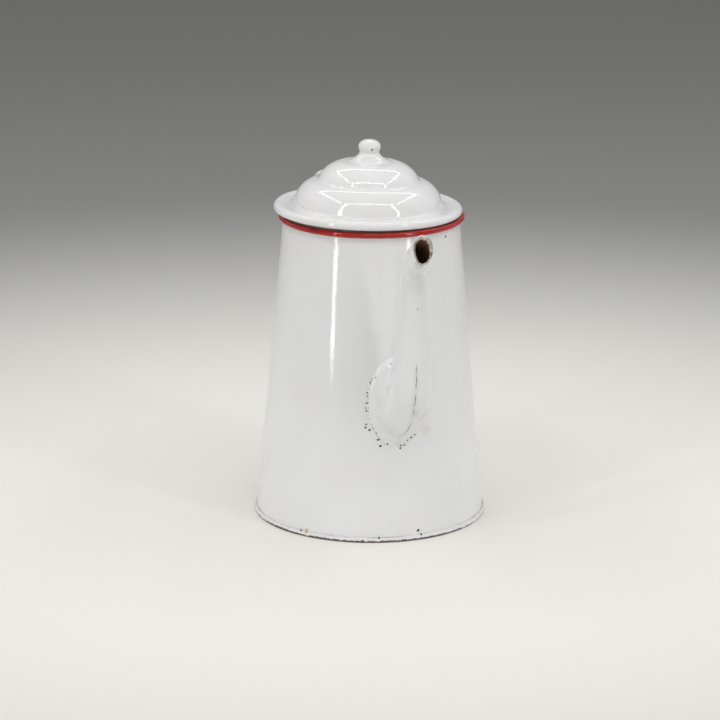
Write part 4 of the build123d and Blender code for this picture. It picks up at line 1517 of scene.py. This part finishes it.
def flake_tree(material):
    """Geometry Nodes: a small ragged flake on each point, turned to the surface and sized by the point."""
    inputs = (("Flake radius", "Float", 1.0 * MM), ("Seed", "Int", 0))
    hand, given, output = geometry_tree("Enamel chips", *inputs)
    ball = hand.add("GeometryNodeMeshIcoSphere", ("Radius", given["Flake radius"]), ("Subdivisions", 2))
    facing = hand.add("GeometryNodeInputNamedAttribute", ("Name", "facing"), data_type="FLOAT_VECTOR")
    size = hand.add("GeometryNodeInputNamedAttribute", ("Name", "size"), data_type="FLOAT_VECTOR")
    turn = hand.add("FunctionNodeAlignRotationToVector", ("Vector", facing.outputs["Attribute"]), axis="Z")
    spread = hand.add(
        "GeometryNodeInstanceOnPoints",
        ("Points", given["Geometry"]),
        ("Instance", ball.outputs["Mesh"]),
        ("Rotation", turn.outputs[0]),
        ("Scale", size.outputs["Attribute"]),
    )
    real = hand.add("GeometryNodeRealizeInstances", ("Geometry", spread.outputs[0]))
    rag = hand.add(
        "ShaderNodeTexNoise",
        ("Vector", hand.add("GeometryNodeInputPosition").outputs[0]),
        ("W", given["Seed"]),
        ("Scale", 1800.0),
        ("Detail", 2.0),
        noise_dimensions="4D",
    )
    push = Field(hand, rag.outputs["Color"]).vector("SUBTRACT", (0.5, 0.5, 0.5))
    push = push.vector("MULTIPLY", (0.35 * MM,) * 3)
    moved = hand.add("GeometryNodeSetPosition", ("Geometry", real.outputs[0]), ("Offset", push))
    return closed_tree(hand, moved.outputs[0], material, output)


def chip_places(body, spout):
    """The chips as pairs of place and radius in millimetres."""
    chips = []
    across, tall, middle = flange_oval(spout, 1.0)
    for degrees, out_mm, radius_mm in FLANGE_CHIPS:
        a = math.radians(degrees)
        x, z = (across + out_mm * MM) * math.cos(a), middle + (tall + out_mm * MM) * math.sin(a)
        chips.append((on_wall(body, x, z, max(0.0, flange_lift(spout, x, z))), radius_mm))
    for x_mm, z_mm, radius_mm in WALL_CHIPS:
        lift = body.seam_sheet + CLEARANCE if z_mm < 4 else 0.0
        chips.append((on_wall(body, x_mm * MM, z_mm * MM, lift), radius_mm))
    return chips


class POT_OT_chips(bpy.types.Operator):
    """Chips in the enamel of the spout's flange, the wall and the foot seam"""

    bl_idname = "pot.chips"
    bl_label = "Enamel chips"

    def execute(self, context):
        body, spout, _, _ = sizes()
        places, radii = zip(*chip_places(body, spout))
        flakes = scattered(
            "flange_chips",
            places,
            flake_tree(MATERIALS["chip"]),
            {"Flake radius": 1.0 * MM, "Seed": context.scene.pot_look.seed},
            facing=[(place.x, place.y, 0.0) for place in places],
            size=[(FLAKE_SPREAD * radius, FLAKE_SPREAD * radius, FLAKE_THICKNESS) for radius in radii],
        )
        finish_piece(flakes, MATERIALS["chip"], POT, slot="bare_steel")
        return {"FINISHED"}


# Stage

# The pot is seen this far round from the spout; the camera's angles are in radians.
PHOTO_TURN = math.radians(15)
CAMERA_DISTANCE = 1825.0 * MM
CAMERA_HEIGHT = 602.1 * MM
CAMERA_YAW = -0.0037
CAMERA_PITCH = 0.26925
CAMERA_ROLL = 0.00588
CAMERA_LENS = 147.32
# The lamps of the light tent: name, both ends, width and radiance. They are turned to the pot's middle.
LAMPS = [
    ("left_post", (-0.62, -0.66, 0.02), (-0.62, -0.66, 1.2), 0.07, 9.0),
    ("right_post", (0.72, -0.68, 0.02), (0.72, -0.68, 1.2), 0.07, 8.0),
    ("front_bar", (-0.66, -0.58, 1.2), (0.75, -0.58, 1.2), 0.08, 9.0),
    ("back_bar", (-0.75, 0.75, 1.2), (0.75, 0.75, 1.2), 0.07, 6.5),
    ("left_bar", (-0.72, -0.5, 1.2), (-0.74, 0.7, 1.2), 0.06, 7.5),
    ("right_bar", (0.78, -0.5, 1.2), (0.76, 0.7, 1.2), 0.06, 7.5),
    ("left_side", (-1.1, -0.2, 0.75), (-1.1, 1.0, 0.75), 1.3, 0.35),
    ("right_side", (1.1, -0.2, 0.75), (1.1, 1.0, 0.75), 1.3, 0.45),
    ("front_fill", (-0.5, -1.9, 1.2), (0.5, -1.9, 1.2), 0.8, 0.35),
]
LIT_MIDDLE = Vector((0.0, 0.0, 0.14))
# The tent's own light, and the plain grey that is seen behind the floor.
TENT_COLOUR, TENT_STRENGTH = (1.0, 0.995, 0.985, 1.0), 0.43
BACKGROUND_GREY = (0.24, 0.24, 0.237, 1.0)
FLOOR_HALF = 6.0
# Floor colours near the pot and far from it: the darkening is a painted fall-off of light.
FLOOR_NEAR, FLOOR_FAR = (0.84, 0.835, 0.79), (0.30, 0.30, 0.297)


def add_camera():
    """The camera at the photograph's viewing angle."""
    sin_yaw, cos_yaw = math.sin(CAMERA_YAW), math.cos(CAMERA_YAW)
    level = math.cos(CAMERA_PITCH)
    forward = Vector((sin_yaw * level, cos_yaw * level, -math.sin(CAMERA_PITCH)))
    right = Vector((cos_yaw, -sin_yaw, 0.0))
    up = right.cross(forward)
    right, up = (
        right * math.cos(CAMERA_ROLL) + up * math.sin(CAMERA_ROLL),
        up * math.cos(CAMERA_ROLL) - right * math.sin(CAMERA_ROLL),
    )
    axes = Matrix((right, up, -forward)).transposed().to_4x4()
    stand = Matrix.Rotation(-PHOTO_TURN, 4, "Z") @ Matrix.Translation((0.0, -CAMERA_DISTANCE, CAMERA_HEIGHT))
    data = bpy.data.cameras.new("photo_camera")
    data.lens = CAMERA_LENS
    data.sensor_width = 36.0
    data.clip_start, data.clip_end = 0.1, 30.0
    camera = new_object("photo_camera", data)
    camera.matrix_world = stand @ axes
    bpy.context.scene.camera = camera


def studio_point(right, away, height):
    """A point given from the camera's side: to its right, away from it and up, from the pot's foot."""
    c, s = math.cos(PHOTO_TURN), math.sin(PHOTO_TURN)
    return Vector((right * c + away * s, away * c - right * s, height))


def add_lamp(name, start, end, width, radiance):
    """A flat lamp of this width whose middle line runs from start to end, turned to the pot."""
    a, b = studio_point(*start), studio_point(*end)
    along = (b - a).normalized()
    back = ((a + b) / 2 - LIT_MIDDLE).normalized()
    side = back.cross(along).normalized()
    data = bpy.data.lights.new(name, "AREA")
    data.shape = "RECTANGLE"
    data.size, data.size_y = (b - a).length, width
    data.energy = radiance * math.pi * data.size * width
    facing = Matrix((along, side, along.cross(side))).transposed().to_4x4()
    new_object(name, data).matrix_world = Matrix.Translation((a + b) / 2) @ facing


def add_world():
    """Even light from the tent, with a plain grey where the background is seen or mirrored."""
    world = bpy.data.worlds.new("studio")
    world.use_nodes = True
    hand = Tree(world.node_tree)
    tent = world.node_tree.nodes["Background"]
    hand.feed(tent.inputs["Color"], TENT_COLOUR)
    hand.feed(tent.inputs["Strength"], TENT_STRENGTH)
    ray = hand.add("ShaderNodeLightPath").outputs
    seen = Field(hand, ray["Is Camera Ray"])
    for kind in ("Is Glossy Ray", "Is Transmission Ray"):
        seen = seen.maths("MAXIMUM", ray[kind])
    grey = hand.add("ShaderNodeBackground", ("Color", BACKGROUND_GREY), ("Strength", 1.0))
    either = hand.add("ShaderNodeMixShader", (0, seen), (1, tent.outputs[0]), (2, grey.outputs[0]))
    hand.feed(world.node_tree.nodes["World Output"].inputs["Surface"], either.outputs[0])
    bpy.context.scene.world = world


def add_floor():
    """A wide pale floor, painted darker away from the pot as a painted fall-off of light."""
    h = FLOOR_HALF
    mesh = bpy.data.meshes.new("floor")
    mesh.from_pydata([(-h, -h, 0), (h, -h, 0), (h, h, 0), (-h, h, 0)], [], [(0, 1, 2, 3)])
    material, surface, place = shader("pale floor")
    # Painted fall-off of light: pale near the pot, darker away from it.
    tone = mixed(ramp(place.vector("LENGTH"), 0.2, 1.0), FLOOR_NEAR, FLOOR_FAR)
    coat(surface, tone, 0.95, Specular_IOR_Level=0.05)
    mesh.materials.append(material)
    new_object("floor", mesh)


class POT_OT_stage(bpy.types.Operator):
    """Camera, lamps of a light tent and a pale floor with a painted fall-off of light"""

    bl_idname = "pot.stage"
    bl_label = "Studio"

    def execute(self, context):
        add_camera()
        for lamp in LAMPS:
            add_lamp(*lamp)
        add_world()
        add_floor()
        context.scene.view_settings.view_transform = "Standard"
        return {"FINISHED"}


# Panel and registration


class POT_PT_panel(bpy.types.Panel):
    """Lists the pot's pieces"""

    bl_idname = "POT_PT_panel"
    bl_label = "Coffee pot"
    bl_space_type = "VIEW_3D"
    bl_region_type = "UI"
    bl_category = "Coffee pot"

    def draw(self, context):
        for operator in OPERATORS:
            self.layout.operator(operator.bl_idname)


GROUPS = {
    "pot_body": PotBodySizes,
    "pot_spout": PotSpoutSizes,
    "pot_lid": PotLidSizes,
    "pot_handle": PotHandleSizes,
    "pot_look": PotLook,
}
OPERATORS = [
    POT_OT_stage,
    POT_OT_wall,
    POT_OT_rim,
    POT_OT_foot,
    POT_OT_spout,
    POT_OT_handle,
    POT_OT_rivets,
    POT_OT_hinge,
    POT_OT_lid,
    POT_OT_collar,
    POT_OT_knob,
    POT_OT_chips,
]


def register():
    for item in [*GROUPS.values(), *OPERATORS, POT_PT_panel]:
        bpy.utils.register_class(item)
    for name, group in GROUPS.items():
        setattr(bpy.types.Scene, name, bpy.props.PointerProperty(type=group))


def unregister():
    for name in GROUPS:
        delattr(bpy.types.Scene, name)
    for item in [POT_PT_panel, *reversed(OPERATORS), *GROUPS.values()]:
        bpy.utils.unregister_class(item)


def main():
    register()
    make_materials()
    for operator in OPERATORS:
        group, name = operator.bl_idname.split(".")
        if getattr(getattr(bpy.ops, group), name)() != {"FINISHED"}:
            raise RuntimeError(operator.bl_label + " wasn't finished")


if __name__ == "__main__":
    main()
